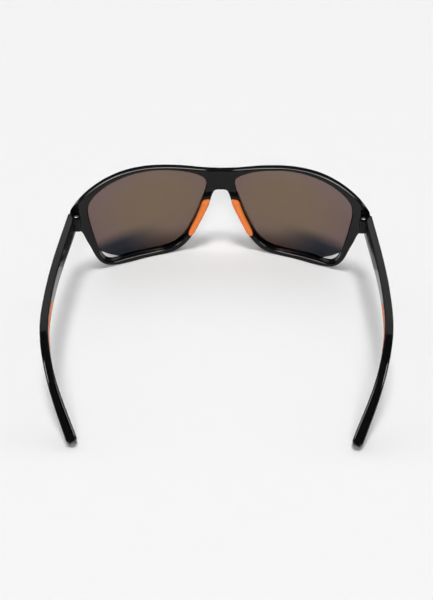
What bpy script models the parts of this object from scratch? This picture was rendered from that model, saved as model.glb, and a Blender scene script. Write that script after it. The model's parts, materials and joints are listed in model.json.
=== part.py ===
"""Wraparound glacier glasses: a moulded front, two lenses and two folding temples.

Axes: +X to the wearer's right, +Y forward out of the lenses, +Z up. The glasses lie as on a
table, with the temples open: the lower rims and the temple ends touch the plane Z = 0.
The origin is at the middle of that footprint. All lengths are in metres.
"""

import functools
import math

import bmesh
import bpy
import numpy as np
from mathutils import Vector

MM = 0.001

# Driving dimensions of the front.
OVERALL_DEPTH = 151.0 * MM        # bridge to temple ends, along Y
FRONT_HALF_WIDTH = 70.5 * MM      # bridge centre to the outer side of an end piece
FRONT_HEIGHT = 47.1 * MM          # table to the top of the brow
FACE_RADIUS = 92.7 * MM           # wrap of the front, seen from above
BROW_RADIUS = 120.0 * MM          # curve of the front, seen from the side
FACE_TILT = math.radians(4.4)     # how far the brow leans forward
RIM_LIP_BROW = 0.6 * MM           # rim behind the lens groove, measured square to the surface
RIM_LIP_TEMPLE_SIDE = 0.8 * MM
RIM_LIP_CHEEK = 2.5 * MM
RIM_LIP_NOSE = 1.5 * MM           # least lip that seats the nose pads
RIM_EDGE = 0.45 * MM              # chamfer on the rim's four edges
GAP = 0.3 * MM                    # clearance between neighbouring pieces

# Lenses and their groove.
LENS_THICKNESS = 1.6 * MM
LENS_SETBACK = 0.9 * MM           # front of the rim to the front of the lens
LENS_CROWN = 1.3 * MM             # how much further the lens's middle bulges forward
GROOVE_DEPTH = 0.9 * MM
GROOVE_LEAST = 0.15 * MM          # the groove's run-out beside the vent
LENS_RINGS = 6                    # nested rings that carry its curve
VENT_WIDTH = 2.4 * MM             # widest opening between the lens and the rim

# Nose pads.
PAD_THICKNESS = 2.6 * MM
PAD_SIDE_MARGIN = 0.35 * MM       # from the pad's sides to the rim's sides
PAD_STEPS = 14                    # sections along a pad

# Hinges: a tongue on the front turns in a slotted block on the temple.
END_PIECE_DEPTH = 3.6 * MM        # front surface to the rear face of an end piece
HINGE_INSET = 4.1 * MM            # outer side of an end piece to the hinge axis
HINGE_CLEARANCE = 0.45 * MM       # rear face of an end piece to the block's round end
BARREL_RADIUS = 1.75 * MM
BLOCK_HEIGHT = 6.7 * MM
BLOCK_HEEL = 1.15 * MM            # how far the block runs behind its barrel
TONGUE_HEIGHT = 2.4 * MM
TONGUE_ROOT = 2.2 * MM            # how far the tongue runs into the end piece
SCREW_RADIUS = 0.6 * MM
SCREW_HEAD_RADIUS = 1.0 * MM
SCREW_HEAD_HEIGHT = 0.8 * MM
SCREW_SLOT_WIDTH = 0.4 * MM
SCREW_SLOT_DEPTH = 0.4 * MM
INSERT_WALL = 0.35 * MM
INSERT_SINK = 0.1 * MM            # the insert's ends below the faces round them
SCREW_CLEARANCE = 0.15 * MM       # around the shaft, the head and the insert

# Temples.
TEMPLE_THICKNESS = 3.6 * MM
TEMPLE_HEIGHT_FRONT = 8.8 * MM
TEMPLE_HEIGHT_MIDDLE = 6.0 * MM
TEMPLE_HEIGHT_END = 5.6 * MM
TEMPLE_EDGE = 1.1 * MM            # rounding of the temple's long edges
TEMPLE_STEPS = 240                # steps in which its sections are carried along
TIP_FLARE = 0.22                   # share by which the temple widens toward its tip
TEMPLE_END_ROUND = 1.2 * MM       # length of the rounded end
TEMPLE_END_TRIM = 0.75 * MM        # what the rounding takes off the end
GRIP_START = 0.50                 # share of the temple's length, from the hinge
GRIP_END = 0.74
GRIP_HEIGHT = 3.6 * MM
GRIP_STEPS = 14                   # sections along a grip
GRIP_POCKET_DEPTH = 1.0 * MM
GRIP_PROUD = 0.10 * MM

# Stations round one eye, as (eye opening x, z, rim outside x, z) in millimetres on a front of
# 70.5 half width and 47.1 height. They start under the bridge and run over the brow, down the
# temple side and back along the cheek to the nose.
DRAWN_HALF_WIDTH = 70.5 * MM
DRAWN_HEIGHT = 47.1 * MM
STATIONS = [
    (9.6, 24.0, 5.4, 24.3), (8.7, 27.0, 4.3, 27.9), (7.9, 29.6, 3.1, 29.9), (7.3, 32.0, 1.2, 30.5),
    (7.0, 33.6, -1.5, 30.5), (7.0, 35.1, -1.5, 36.6), (7.5, 36.8, -1.5, 41.7), (8.9, 38.2, 2.5, 41.7),
    (11.0, 39.4, 7.0, 42.0), (14.5, 40.9, 12.5, 42.9), (19.5, 42.4, 18.5, 44.1), (25.5, 43.7, 25.5, 45.4),
    (32.0, 44.7, 32.5, 46.5), (39.0, 45.0, 40.0, 47.1), (46.0, 44.4, 47.5, 46.9), (52.0, 43.0, 54.5, 45.5),
    (56.8, 40.8, 60.8, 43.1), (60.2, 37.9, 66.0, 39.8), (61.6, 34.8, 70.0, 34.9), (61.8, 31.4, 70.4, 30.5),
    (61.5, 28.2, 70.3, 25.9), (61.1, 25.2, 66.3, 25.1), (60.2, 19.8, 63.8, 19.6), (59.1, 14.4, 61.9, 14.0),
    (58.3, 10.0, 60.4, 9.5), (56.9, 5.9, 58.5, 5.3), (54.4, 3.0, 55.6, 1.8), (51.0, 2.1, 51.7, 0.2),
    (46.0, 2.4, 46.2, -0.2), (38.0, 2.3, 38.0, -0.3), (30.0, 2.2, 29.5, -0.3), (24.2, 3.0, 22.8, 0.5),
    (19.8, 5.2, 17.4, 3.7), (16.4, 9.4, 13.3, 8.6), (13.0, 15.6, 9.5, 15.5), (10.9, 20.4, 6.9, 20.7),
]
SPANS_PER_STATION = 2
VENT_FROM = 24.0                  # station numbers between which the vent opens
VENT_TO = 27.7
SEAT_END = 1.0                    # station number where the nose pad's seat begins to fade
SEAT_FADE = 1.8
PAD_FROM = 32.9                   # station numbers of the nose pad's ends
PAD_TO = 36.6

# Heights on the drawn front: the bridge's top, the hinge's middle and the end pieces' underside.
DRAWN_BRIDGE_TOP = 41.7
DRAWN_HINGE = 30.75
DRAWN_END_PIECE_BOTTOM = 24.4

# Temple curves, as (share of the length behind the seam, value in millimetres).
TEMPLE_OUTSIDE = [(0.0, 70.5), (0.3, 72.7), (0.54, 73.1), (0.72, 71.0), (0.88, 64.9), (1.0, 57.6)]
TEMPLE_TOP = [(0.0, 34.4), (0.3, 32.9), (0.56, 30.6), (0.69, 28.6), (0.8, 22.4), (0.9, 13.4), (1.0, 3.2)]

# Worked-out sizes and places.
WIDTH_SCALE = MM * FRONT_HALF_WIDTH / DRAWN_HALF_WIDTH
HEIGHT_SCALE = MM * FRONT_HEIGHT / DRAWN_HEIGHT
FRONT_Y = OVERALL_DEPTH / 2
TEMPLE_END_Y = -OVERALL_DEPTH / 2
GROOVE_FRONT = LENS_SETBACK - GAP
GROOVE_BACK = LENS_SETBACK + LENS_THICKNESS + GAP
BRIDGE_TOP = DRAWN_BRIDGE_TOP * HEIGHT_SCALE
HINGE_X = FRONT_HALF_WIDTH - HINGE_INSET
HINGE_Z = DRAWN_HINGE * HEIGHT_SCALE
BLOCK_BOTTOM = HINGE_Z - BLOCK_HEIGHT / 2
BLOCK_TOP = HINGE_Z + BLOCK_HEIGHT / 2
SIDES = (("left", -1), ("right", 1))

COLOURS = {
    "frame_plastic": ((0.010, 0.010, 0.011), 0.18, 0.0),
    "lens_brown": ((0.16, 0.10, 0.06), 0.06, 0.0),
    "orange_rubber": ((0.85, 0.18, 0.03), 0.55, 0.0),
    "screw_steel": ((0.60, 0.60, 0.62), 0.30, 1.0),
    "insert_brass": ((0.70, 0.50, 0.20), 0.35, 1.0),
}


def smooth_step(value):
    """Ease from 0 to 1 while the value goes from 0 to 1."""
    value = min(1.0, max(0.0, value))
    return value * value * (3.0 - 2.0 * value)


def curve_point(points, position):
    """Point of a closed smooth curve through points, at a position counted in points."""
    first = math.floor(position)
    share = position - first
    before, start, end, after = (points[(first + step) % len(points)] for step in (-1, 0, 1, 2))
    knots = [0.0]
    for one, other in ((before, start), (start, end), (end, after)):
        knots.append(knots[-1] + math.sqrt((other - one).length))
    at = knots[1] + share * (knots[2] - knots[1])

    def blend(one, other, low, high):
        return one * ((high - at) / (high - low)) + other * ((at - low) / (high - low))

    first_pair = [blend(before, start, knots[0], knots[1]), blend(start, end, knots[1], knots[2]),
                  blend(end, after, knots[2], knots[3])]
    second_pair = [blend(first_pair[0], first_pair[1], knots[0], knots[2]),
                   blend(first_pair[1], first_pair[2], knots[1], knots[3])]
    return blend(second_pair[0], second_pair[1], knots[1], knots[2])


def eased_value(table, share):
    """Value of a table of (share, value) pairs, on a smooth curve through them."""
    shares, values = (np.array(column) for column in zip(*table))
    slopes = np.gradient(values, shares)
    index = int(np.clip(np.searchsorted(shares, share) - 1, 0, len(shares) - 2))
    span = shares[index + 1] - shares[index]
    at = (share - shares[index]) / span
    return float((2 * at ** 3 - 3 * at ** 2 + 1) * values[index]
                 + (at ** 3 - 2 * at ** 2 + at) * span * slopes[index]
                 + (3 * at ** 2 - 2 * at ** 3) * values[index + 1]
                 + (at ** 3 - at ** 2) * span * slopes[index + 1])


def front_surface(x, z):
    """Y of the front's outer surface."""
    wrap = FACE_RADIUS - math.sqrt(FACE_RADIUS ** 2 - x ** 2)
    middle = FRONT_HEIGHT / 2
    lean = (z - BRIDGE_TOP) * math.tan(FACE_TILT)
    bulge = ((z - middle) ** 2 - (BRIDGE_TOP - middle) ** 2) / (2 * BROW_RADIUS)
    return FRONT_Y - wrap - bulge + lean


SEAM_Y = front_surface(HINGE_X, HINGE_Z) - END_PIECE_DEPTH


def behind_surface(x, z, depth):
    """Point at a depth behind the front's outer surface, measured square to its wrap."""
    slant = math.sqrt(1 - (x / FACE_RADIUS) ** 2)
    return Vector((x, front_surface(x, z) - depth / slant, z))


def drawn_point(x, z):
    """A point of the station list at the front's real size."""
    return Vector((x * WIDTH_SCALE, z * HEIGHT_SCALE))


def rim_depth(x, z, position):
    """Depth of the rim, which is deepest along the cheek and rises to seat the nose pads."""
    toward_temple = smooth_step((x / FRONT_HALF_WIDTH - 0.6) / 0.2)
    lower = RIM_LIP_CHEEK + (RIM_LIP_TEMPLE_SIDE - RIM_LIP_CHEEK) * toward_temple
    lip = lower + (RIM_LIP_BROW - lower) * smooth_step((z / FRONT_HEIGHT - 0.1) / 0.3)
    past_pad = position if position < len(STATIONS) / 2 else 0.0
    seat = 1.0 - smooth_step((x / FRONT_HALF_WIDTH - 0.12) / 0.12)
    seat *= 1.0 - smooth_step((past_pad - SEAT_END) / SEAT_FADE)
    return GROOVE_BACK + lip + max(0.0, RIM_LIP_NOSE - lip) * seat


def vent_share(position):
    """How far the vent is open at a station, from 0 to 1."""
    share = (position - VENT_FROM) / (VENT_TO - VENT_FROM)
    return math.sin(math.pi * share) ** 0.7 if 0 < share < 1 else 0.0


class Station:
    """One place round the eye: the opening's edge, the rim's outside and the way between them."""

    openings = [drawn_point(x, z) for x, z, _, _ in STATIONS]
    outsides = [drawn_point(x, z) for _, _, x, z in STATIONS]

    def __init__(self, position):
        self.position = position
        self.opening = curve_point(self.openings, position)
        self.outside = curve_point(self.outsides, position)
        self.width = (self.outside - self.opening).length
        self.outward = (self.outside - self.opening) / self.width
        self.depth = rim_depth(*self.outside, position)

    def at(self, distance, depth):
        """Point at a distance outward from the eye opening and a depth behind the surface."""
        flat = self.opening + self.outward * distance
        return behind_surface(flat.x, flat.y, depth)


def stations():
    """The stations at which the rim and the lens are drawn."""
    return [Station(index / SPANS_PER_STATION) for index in range(len(STATIONS) * SPANS_PER_STATION)]


def mesh_object(name, points, faces, origin=Vector((0, 0, 0)), sharp_angle=35.0):
    """An object from points and faces, with its faces turned outward and its origin set."""
    mesh = bpy.data.meshes.new(name)
    mesh.from_pydata([point - origin for point in points], [], faces)
    work = bmesh.new()
    work.from_mesh(mesh)
    bmesh.ops.recalc_face_normals(work, faces=work.faces)
    work.to_mesh(mesh)
    work.free()
    mesh.shade_smooth()
    mesh.set_sharp_from_angle(angle=math.radians(sharp_angle))
    thing = bpy.data.objects.new(name, mesh)
    thing.location = origin
    return thing


def loft(rings, closed=False, capped=True):
    """Points and faces of a skin over rings of equal length."""
    count = len(rings[0])
    points = [point for ring in rings for point in ring]
    faces = []
    for index in range(len(rings) if closed else len(rings) - 1):
        here, there = index * count, (index + 1) % len(rings) * count
        for step in range(count):
            beside = (step + 1) % count
            faces.append((here + step, here + beside, there + beside, there + step))
    if capped and not closed:
        faces.append(tuple(reversed(range(count))))
        faces.append(tuple(range(len(points) - count, len(points))))
    return points, faces


def flipped(points, side):
    """The points on the given side: 1 keeps them on the right, -1 puts them on the left."""
    return [Vector((side * point.x, point.y, point.z)) for point in points]


def box(low, high, name):
    """A box from its lowest to its highest corner."""
    middle = (Vector(low) + Vector(high)) / 2
    bpy.ops.mesh.primitive_cube_add(size=1.0, location=middle)
    made = bpy.context.active_object
    made.name = name
    made.scale = Vector(high) - Vector(low)
    bpy.ops.object.transform_apply(location=False, rotation=False, scale=True)
    return made


def rod(centre, radius, low, high, name, sides=32):
    """An upright cylinder between two heights."""
    place = (centre[0], centre[1], (low + high) / 2)
    bpy.ops.mesh.primitive_cylinder_add(vertices=sides, radius=radius, depth=high - low, location=place)
    made = bpy.context.active_object
    made.name = name
    return made


def arc(centre, radius, start, end, steps=12):
    """Points of an arc in plan, from one angle to another in degrees."""
    turns = [math.radians(start + (end - start) * step / steps) for step in range(steps + 1)]
    return [(centre[0] + radius * math.cos(turn), centre[1] + radius * math.sin(turn)) for turn in turns]


def prism(outline, low, high, name, side):
    """An upright solid over an outline of (x, y) points, drawn for the right side."""
    rings = [[Vector((side * x, y, height)) for x, y in outline] for height in (low, high)]
    return mesh_object(name, *loft(rings))


def apply_tool(thing, tool, operation):
    """Cut a tool from a piece or join it on, with an exact Boolean that stays on the piece."""
    modifier = thing.modifiers.new(tool.name, "BOOLEAN")
    modifier.object = tool
    modifier.operation = operation
    modifier.solver = "EXACT"
    for collection in list(tool.users_collection):
        collection.objects.unlink(tool)
    bpy.data.collections["cutters"].objects.link(tool)
    tool.hide_render = True
    tool.display_type = "WIRE"


def material(name):
    """The Principled material of a finish."""
    made = bpy.data.materials.get(name)
    if made is None:
        colour, roughness, metallic = COLOURS[name]
        made = bpy.data.materials.new(name)
        made.use_nodes = True
        shader = made.node_tree.nodes["Principled BSDF"]
        shader.inputs["Base Color"].default_value = (*colour, 1.0)
        shader.inputs["Roughness"].default_value = roughness
        shader.inputs["Metallic"].default_value = metallic
        made.diffuse_color = (*colour, 1.0)
    return made


def place(thing, finish):
    """Put a piece in the glasses' collection with its finish."""
    thing.data.materials.clear()
    thing.data.materials.append(material(finish))
    for collection in list(thing.users_collection):
        collection.objects.unlink(thing)
    bpy.data.collections["glacier_glasses"].objects.link(thing)
    return thing


def hinge_axis(side):
    """Plan position of a hinge's axis."""
    return (side * HINGE_X, SEAM_Y - BARREL_RADIUS - HINGE_CLEARANCE)


def hinge_origin(side):
    """The point on a hinge's axis that its temple turns about."""
    return Vector((*hinge_axis(side), HINGE_Z))


def tongue_span(growth=0.0):
    """Lowest and highest height of the front's hinge tongue, grown by a clearance."""
    return HINGE_Z - TONGUE_HEIGHT / 2 - growth, HINGE_Z + TONGUE_HEIGHT / 2 + growth


def rim_section(station):
    """One section of the rim, with its chamfers and its lens groove."""
    edge, width, deep = RIM_EDGE, station.width, station.depth
    groove = max(GROOVE_LEAST, GROOVE_DEPTH * (1.0 - 1.6 * vent_share(station.position)))
    places = [
        (edge, 0.0), (width / 2, 0.0), (width - edge, 0.0), (width, edge), (width, deep - edge),
        (width - edge, deep), (width / 2, deep), (edge, deep), (0.0, deep - edge), (0.0, GROOVE_BACK),
        (groove, GROOVE_BACK), (groove, GROOVE_FRONT), (0.0, GROOVE_FRONT), (0.0, edge),
    ]
    return [station.at(distance, depth) for distance, depth in places]


def front_frame():
    """The moulded front: both rims, the bridge, the end pieces and the hinge tongues."""
    frame = mesh_object("front_frame", *loft([rim_section(station) for station in stations()], closed=True))
    reach = 10 * MM
    behind_seam = box((HINGE_X - reach, SEAM_Y - 2 * reach, DRAWN_END_PIECE_BOTTOM * HEIGHT_SCALE),
                      (FRONT_HALF_WIDTH + reach, SEAM_Y, FRONT_HEIGHT), "seam_cut")
    apply_tool(frame, behind_seam, "DIFFERENCE")
    below_table = box((0, 0, -reach), (FRONT_HALF_WIDTH + reach, FRONT_Y + reach, 0), "table_cut")
    apply_tool(frame, below_table, "DIFFERENCE")
    axis = hinge_axis(1)
    into_front = SEAM_Y + TONGUE_ROOT
    tongue = arc(axis, BARREL_RADIUS, -180, 0)
    tongue += [(axis[0] + BARREL_RADIUS, into_front), (axis[0] - BARREL_RADIUS, into_front)]
    low, high = tongue_span()
    apply_tool(frame, prism(tongue, low, high, "tongue", 1), "UNION")
    hole = rod(axis, SCREW_RADIUS + SCREW_CLEARANCE, low - MM, high + MM, "tongue_hole")
    apply_tool(frame, hole, "DIFFERENCE")
    mirror = frame.modifiers.new("halves", "MIRROR")
    mirror.use_bisect_axis = (True, False, False)
    mirror.use_bisect_flip_axis = (False, False, False)
    mirror.use_clip = True
    mirror.merge_threshold = 0.00002
    return place(frame, "frame_plastic")


def lens(name, side):
    """A curved lens: nested rings from its middle to the edge that sits in the groove."""
    edge_reach = GROOVE_DEPTH - GAP
    outline = []
    for station in stations():
        opening = vent_share(station.position) * (VENT_WIDTH + edge_reach)
        outline.append(station.opening + station.outward * (edge_reach - opening))
    middle = sum(outline, Vector((0, 0))) / len(outline)
    rings = []
    for depth in (LENS_SETBACK, LENS_SETBACK + LENS_THICKNESS):
        for ring in range(1, LENS_RINGS + 1):
            share = ring / LENS_RINGS
            flat = [middle.lerp(point, share) for point in outline]
            crowned = depth - LENS_CROWN * (1 - share ** 2)
            rings.append([behind_surface(point.x, point.y, crowned) for point in flat])
    front, back = rings[:LENS_RINGS], rings[LENS_RINGS:]
    points, faces = loft(front + back[::-1], capped=False)
    count = len(outline)
    for depth, start in ((LENS_SETBACK, 0), (LENS_SETBACK + LENS_THICKNESS, len(points) - count)):
        points.append(behind_surface(middle.x, middle.y, depth - LENS_CROWN))
        faces += [(start + step, start + (step + 1) % count, len(points) - 1) for step in range(count)]
    return place(mesh_object(name, flipped(points, side), faces), "lens_brown")


def nose_pad(name, side):
    """A soft strip behind the rim on the nose side, rounded toward the nose."""
    rings = []
    for step in range(PAD_STEPS + 1):
        share = step / PAD_STEPS
        station = Station(PAD_FROM + (PAD_TO - PAD_FROM) * share)
        swell = math.sqrt(max(0.0, 1 - (2 * share - 1) ** 6)) * 0.85 + 0.15
        low, high = PAD_SIDE_MARGIN, station.width - PAD_SIDE_MARGIN
        middle, half = (low + high) / 2, (high - low) / 2 * swell
        base = station.depth + GAP
        ring = [station.at(middle - half, base), station.at(middle + half, base)]
        for turn in range(7):
            angle = math.pi * turn / 6
            across = middle + half * math.cos(angle)
            ring.append(station.at(across, base + PAD_THICKNESS * swell * (0.35 + 0.65 * math.sin(angle))))
        rings.append(ring)
    points, faces = loft(rings)
    return place(mesh_object(name, flipped(points, side), faces), "orange_rubber")


def temple_length():
    """Length of a temple along Y, from the seam to its end before rounding."""
    return SEAM_Y - GAP - TEMPLE_END_Y + TEMPLE_END_TRIM


def temple_edge(share):
    """Point on the temple's upper outside edge at a share of its length."""
    outside = eased_value(TEMPLE_OUTSIDE, share) * MM + (FRONT_HALF_WIDTH - DRAWN_HALF_WIDTH)
    top = eased_value(TEMPLE_TOP, share) * HEIGHT_SCALE
    return Vector((outside, SEAM_Y - GAP - share * temple_length(), top))


@functools.lru_cache
def temple_turns():
    """The inward way at even steps along the temple, carried along its curve without twist."""
    inward = Vector((-1, 0, 0))
    ways = []
    for step in range(TEMPLE_STEPS + 1):
        share = step / TEMPLE_STEPS
        along = temple_edge(share + 0.004) - temple_edge(share - 0.004)
        along.normalize()
        inward = (inward - along * inward.dot(along)).normalized()
        ways.append((inward, along))
    return ways


def temple_frame(share):
    """Middle of the temple's section at a share of its length, with its inward and up ways."""
    inward, along = temple_turns()[round(min(1.0, max(0.0, share)) * TEMPLE_STEPS)]
    up = inward.cross(along).normalized()
    middle = temple_edge(share) + inward * (temple_thickness(share) / 2) - up * (temple_height(share) / 2)
    return middle, inward, up


def temple_thickness(share):
    """Thickness of the temple at a share of its length; it widens toward its tip."""
    return TEMPLE_THICKNESS * (1 + TIP_FLARE * smooth_step((share - 0.8) / 0.2))


def temple_height(share):
    """Height of the temple's section at a share of its length."""
    front, middle, end = TEMPLE_HEIGHT_FRONT, TEMPLE_HEIGHT_MIDDLE, TEMPLE_HEIGHT_END
    if share < 0.55:
        return front + (middle - front) * smooth_step(share / 0.55)
    return middle + (end - middle) * smooth_step((share - 0.55) / 0.45)


def rounded_section(half_width, half_height, rounding, corner_steps=3):
    """Corners of a rounded rectangle, as (inward, up) pairs."""
    corners = []
    for quarter in range(4):
        x_sign = 1 if quarter in (0, 3) else -1
        z_sign = 1 if quarter < 2 else -1
        for step in range(corner_steps + 1):
            turn = math.pi / 2 * (quarter + step / corner_steps)
            corners.append((x_sign * (half_width - rounding) + rounding * math.cos(turn),
                            z_sign * (half_height - rounding) + rounding * math.sin(turn)))
    return corners


def temple_body_rings():
    """Sections of the temple from just ahead of the seam to the rounded end."""
    length = temple_length()
    shares = [-0.015] + [index / 26 for index in range(26)]
    end_share = TEMPLE_END_ROUND / length
    shares = [share for share in shares if share < 1 - end_share - 0.01]
    shares += [1 - end_share * (1 - math.sin(math.pi / 2 * step / 5)) for step in range(6)]
    rings = []
    for share in shares:
        middle, inward, up = temple_frame(share)
        into_end = min(1.0, max(0.0, (share - (1 - end_share)) / end_share))
        shrink = max(0.70, math.sqrt(1 - into_end ** 2))
        half_width = temple_thickness(share) / 2 * shrink
        half_height = temple_height(share) / 2 * (0.60 + 0.40 * shrink)
        rounding = min(TEMPLE_EDGE, half_width * 0.8)
        rings.append([middle + inward * across + up * rise
                      for across, rise in rounded_section(half_width, half_height, rounding)])
    return rings


def grip_rings(growth, deepest, proudest, end_growth):
    """Sections of the grip or of its pocket, on the temple's inner face."""
    rings = []
    length_share = end_growth / temple_length()
    for step in range(GRIP_STEPS + 1):
        share = GRIP_START - length_share + (GRIP_END - GRIP_START + 2 * length_share) * step / GRIP_STEPS
        middle, inward, up = temple_frame(share)
        along = 2 * step / GRIP_STEPS - 1
        half_height = (GRIP_HEIGHT / 2) * math.sqrt(max(0.05, 1 - abs(along) ** 5)) + growth
        face = temple_thickness(share) / 2
        corners = ((face - deepest, -half_height), (face + proudest, -half_height * 0.86),
                   (face + proudest, half_height * 0.86), (face - deepest, half_height))
        rings.append([middle + inward * across + up * rise for across, rise in corners])
    return rings


def block_outline():
    """Plan of the temple's hinge block: round ahead of the axis, square behind it."""
    x, y = hinge_axis(1)
    inside_temple = FRONT_HALF_WIDTH - TEMPLE_THICKNESS / 3
    rear = y - BARREL_RADIUS - BLOCK_HEEL
    corners = [(x - BARREL_RADIUS, rear), (inside_temple, rear), (inside_temple, y + BARREL_RADIUS)]
    return arc((x, y), BARREL_RADIUS, 90, 180) + corners


def slot_outline():
    """Plan of the room that the tongue needs in the block, open ahead and toward the face."""
    x, y = hinge_axis(1)
    room, beyond = BARREL_RADIUS + GAP, 8 * MM
    corners = [(x - beyond, y - room), (x - beyond, y + beyond), (x + room, y + beyond)]
    return arc((x, y), room, 0, -90) + corners


def insert_radius():
    """Outer radius of the threaded insert."""
    return SCREW_RADIUS + SCREW_CLEARANCE + INSERT_WALL


def temple(name, side):
    """A one-piece temple with its hinge block; its origin is on the hinge's axis."""
    axis = hinge_axis(side)
    points, faces = loft(temple_body_rings())
    piece = mesh_object(name, flipped(points, side), faces, hinge_origin(side))
    reach = 12 * MM
    ahead = box((side * FRONT_HALF_WIDTH - reach, SEAM_Y - GAP, 0),
                (side * FRONT_HALF_WIDTH + reach, SEAM_Y + reach, FRONT_HEIGHT), name + "_seam_cut")
    apply_tool(piece, ahead, "DIFFERENCE")
    edge = sorted((side * FRONT_HALF_WIDTH / 2, side * (FRONT_HALF_WIDTH + reach)))
    below_table = box((edge[0], TEMPLE_END_Y - reach, -reach), (edge[1], 0, 0), name + "_table_cut")
    apply_tool(piece, below_table, "DIFFERENCE")
    apply_tool(piece, prism(block_outline(), BLOCK_BOTTOM, BLOCK_TOP, name + "_block", side), "UNION")
    apply_tool(piece, prism(slot_outline(), *tongue_span(GAP), name + "_slot", side), "DIFFERENCE")
    head_floor = BLOCK_TOP - SCREW_HEAD_HEIGHT - SCREW_CLEARANCE
    holes = [
        ("_shaft_hole", SCREW_RADIUS, HINGE_Z, BLOCK_TOP + MM),
        ("_head_hole", SCREW_HEAD_RADIUS, head_floor, BLOCK_TOP + MM),
        ("_insert_hole", insert_radius(), BLOCK_BOTTOM - MM, HINGE_Z),
    ]
    for ending, radius, low, high in holes:
        apply_tool(piece, rod(axis, radius + SCREW_CLEARANCE, low, high, name + ending), "DIFFERENCE")
    points, faces = loft(grip_rings(GAP, GRIP_POCKET_DEPTH, 2 * MM, GAP))
    apply_tool(piece, mesh_object(name + "_pocket", flipped(points, side), faces), "DIFFERENCE")
    return place(piece, "frame_plastic")


def temple_grip(name, side):
    """The soft strip set into the temple's inner face above the ear."""
    points, faces = loft(grip_rings(0.0, GRIP_POCKET_DEPTH - GAP, GRIP_PROUD, 0.0))
    return place(mesh_object(name, flipped(points, side), faces, hinge_origin(side)), "orange_rubber")


def hinge_screw(name, side):
    """A slotted screw: its head sits in the block's top, its end in the insert."""
    axis = hinge_axis(side)
    head_low = BLOCK_TOP - SCREW_HEAD_HEIGHT
    screw = rod(axis, SCREW_HEAD_RADIUS, head_low, BLOCK_TOP, name)
    shaft = rod(axis, SCREW_RADIUS, BLOCK_BOTTOM + GAP, head_low + GAP, name + "_shaft")
    apply_tool(screw, shaft, "UNION")
    half = SCREW_SLOT_WIDTH / 2
    slot = box((axis[0] - 2 * SCREW_HEAD_RADIUS, axis[1] - half, BLOCK_TOP - SCREW_SLOT_DEPTH),
               (axis[0] + 2 * SCREW_HEAD_RADIUS, axis[1] + half, BLOCK_TOP + MM), name + "_slot")
    apply_tool(screw, slot, "DIFFERENCE")
    return place(screw, "screw_steel")


def hinge_insert(name, side):
    """The threaded brass sleeve in the block's bottom, which the screw's end turns into."""
    axis = hinge_axis(side)
    top = tongue_span(GAP)[0] - INSERT_SINK
    sleeve = rod(axis, insert_radius(), BLOCK_BOTTOM + INSERT_SINK, top, name)
    bore = rod(axis, SCREW_RADIUS + SCREW_CLEARANCE, BLOCK_BOTTOM - MM, top + MM, name + "_bore")
    apply_tool(sleeve, bore, "DIFFERENCE")
    return place(sleeve, "insert_brass")


def main():
    """Clear the scene and build every piece."""
    for thing in list(bpy.data.objects):
        bpy.data.objects.remove(thing)
    for name in ("glacier_glasses", "cutters"):
        bpy.context.scene.collection.children.link(bpy.data.collections.new(name))
    front_frame()
    for word, side in SIDES:
        lens(f"lens_{word}", side)
        nose_pad(f"nose_pad_{word}", side)
        temple(f"temple_{word}", side)
        temple_grip(f"temple_grip_{word}", side)
        hinge_screw(f"hinge_screw_{word}", side)
        hinge_insert(f"hinge_insert_{word}", side)


main()
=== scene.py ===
"""Looks of the glacier glasses: a glossy moulded front, coated lenses and folding temples.

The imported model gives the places, the bodies and the hinge axes. Every visible piece is built
here as a fine mesh that stands for its plain solid, in metres: +X to the wearer's right,
+Y forward out of the lenses, +Z up from the table.
"""

import json
import logging
import math
from collections.abc import Callable, Sequence
from dataclasses import dataclass, field
from enum import Enum
from typing import Any

import bmesh
import bpy
import numpy as np
from mathutils import Matrix, Vector

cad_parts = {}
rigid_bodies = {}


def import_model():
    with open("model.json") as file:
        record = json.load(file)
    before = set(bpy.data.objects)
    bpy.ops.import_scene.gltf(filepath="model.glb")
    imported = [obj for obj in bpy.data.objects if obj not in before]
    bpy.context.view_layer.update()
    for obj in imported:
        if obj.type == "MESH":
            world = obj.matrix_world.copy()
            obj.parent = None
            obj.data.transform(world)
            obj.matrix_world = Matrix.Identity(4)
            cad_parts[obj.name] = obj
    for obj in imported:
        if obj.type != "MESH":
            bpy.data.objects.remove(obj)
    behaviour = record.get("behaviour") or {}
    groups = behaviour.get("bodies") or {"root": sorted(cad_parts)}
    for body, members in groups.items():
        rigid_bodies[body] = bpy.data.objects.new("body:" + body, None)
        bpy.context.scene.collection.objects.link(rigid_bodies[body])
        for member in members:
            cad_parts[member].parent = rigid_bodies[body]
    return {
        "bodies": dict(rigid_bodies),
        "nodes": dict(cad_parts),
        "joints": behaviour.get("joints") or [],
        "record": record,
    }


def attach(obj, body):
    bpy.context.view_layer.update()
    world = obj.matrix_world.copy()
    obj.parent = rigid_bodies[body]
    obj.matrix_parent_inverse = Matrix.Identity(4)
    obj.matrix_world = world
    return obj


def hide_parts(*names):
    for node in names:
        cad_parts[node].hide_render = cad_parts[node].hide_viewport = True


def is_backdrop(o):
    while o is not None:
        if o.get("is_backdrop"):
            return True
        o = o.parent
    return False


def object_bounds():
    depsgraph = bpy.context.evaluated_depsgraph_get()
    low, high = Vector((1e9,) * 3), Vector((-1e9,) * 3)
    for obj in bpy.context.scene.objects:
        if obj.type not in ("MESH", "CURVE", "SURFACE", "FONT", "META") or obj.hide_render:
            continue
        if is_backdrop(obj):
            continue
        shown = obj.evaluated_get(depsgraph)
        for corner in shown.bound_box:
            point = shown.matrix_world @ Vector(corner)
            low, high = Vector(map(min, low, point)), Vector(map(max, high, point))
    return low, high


LOG = logging.getLogger("glacier_glasses")
MM = 0.001
ON_AXIS = 0.0001 * MM  # radius at which a turned profile starts and ends
ROUND_SIDES = 48
SHARP_FROM = math.radians(38.0)
BEVEL_FROM = math.radians(30.0)

Colour = tuple[float, float, float]
Rings = list[list[Vector]]


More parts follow.
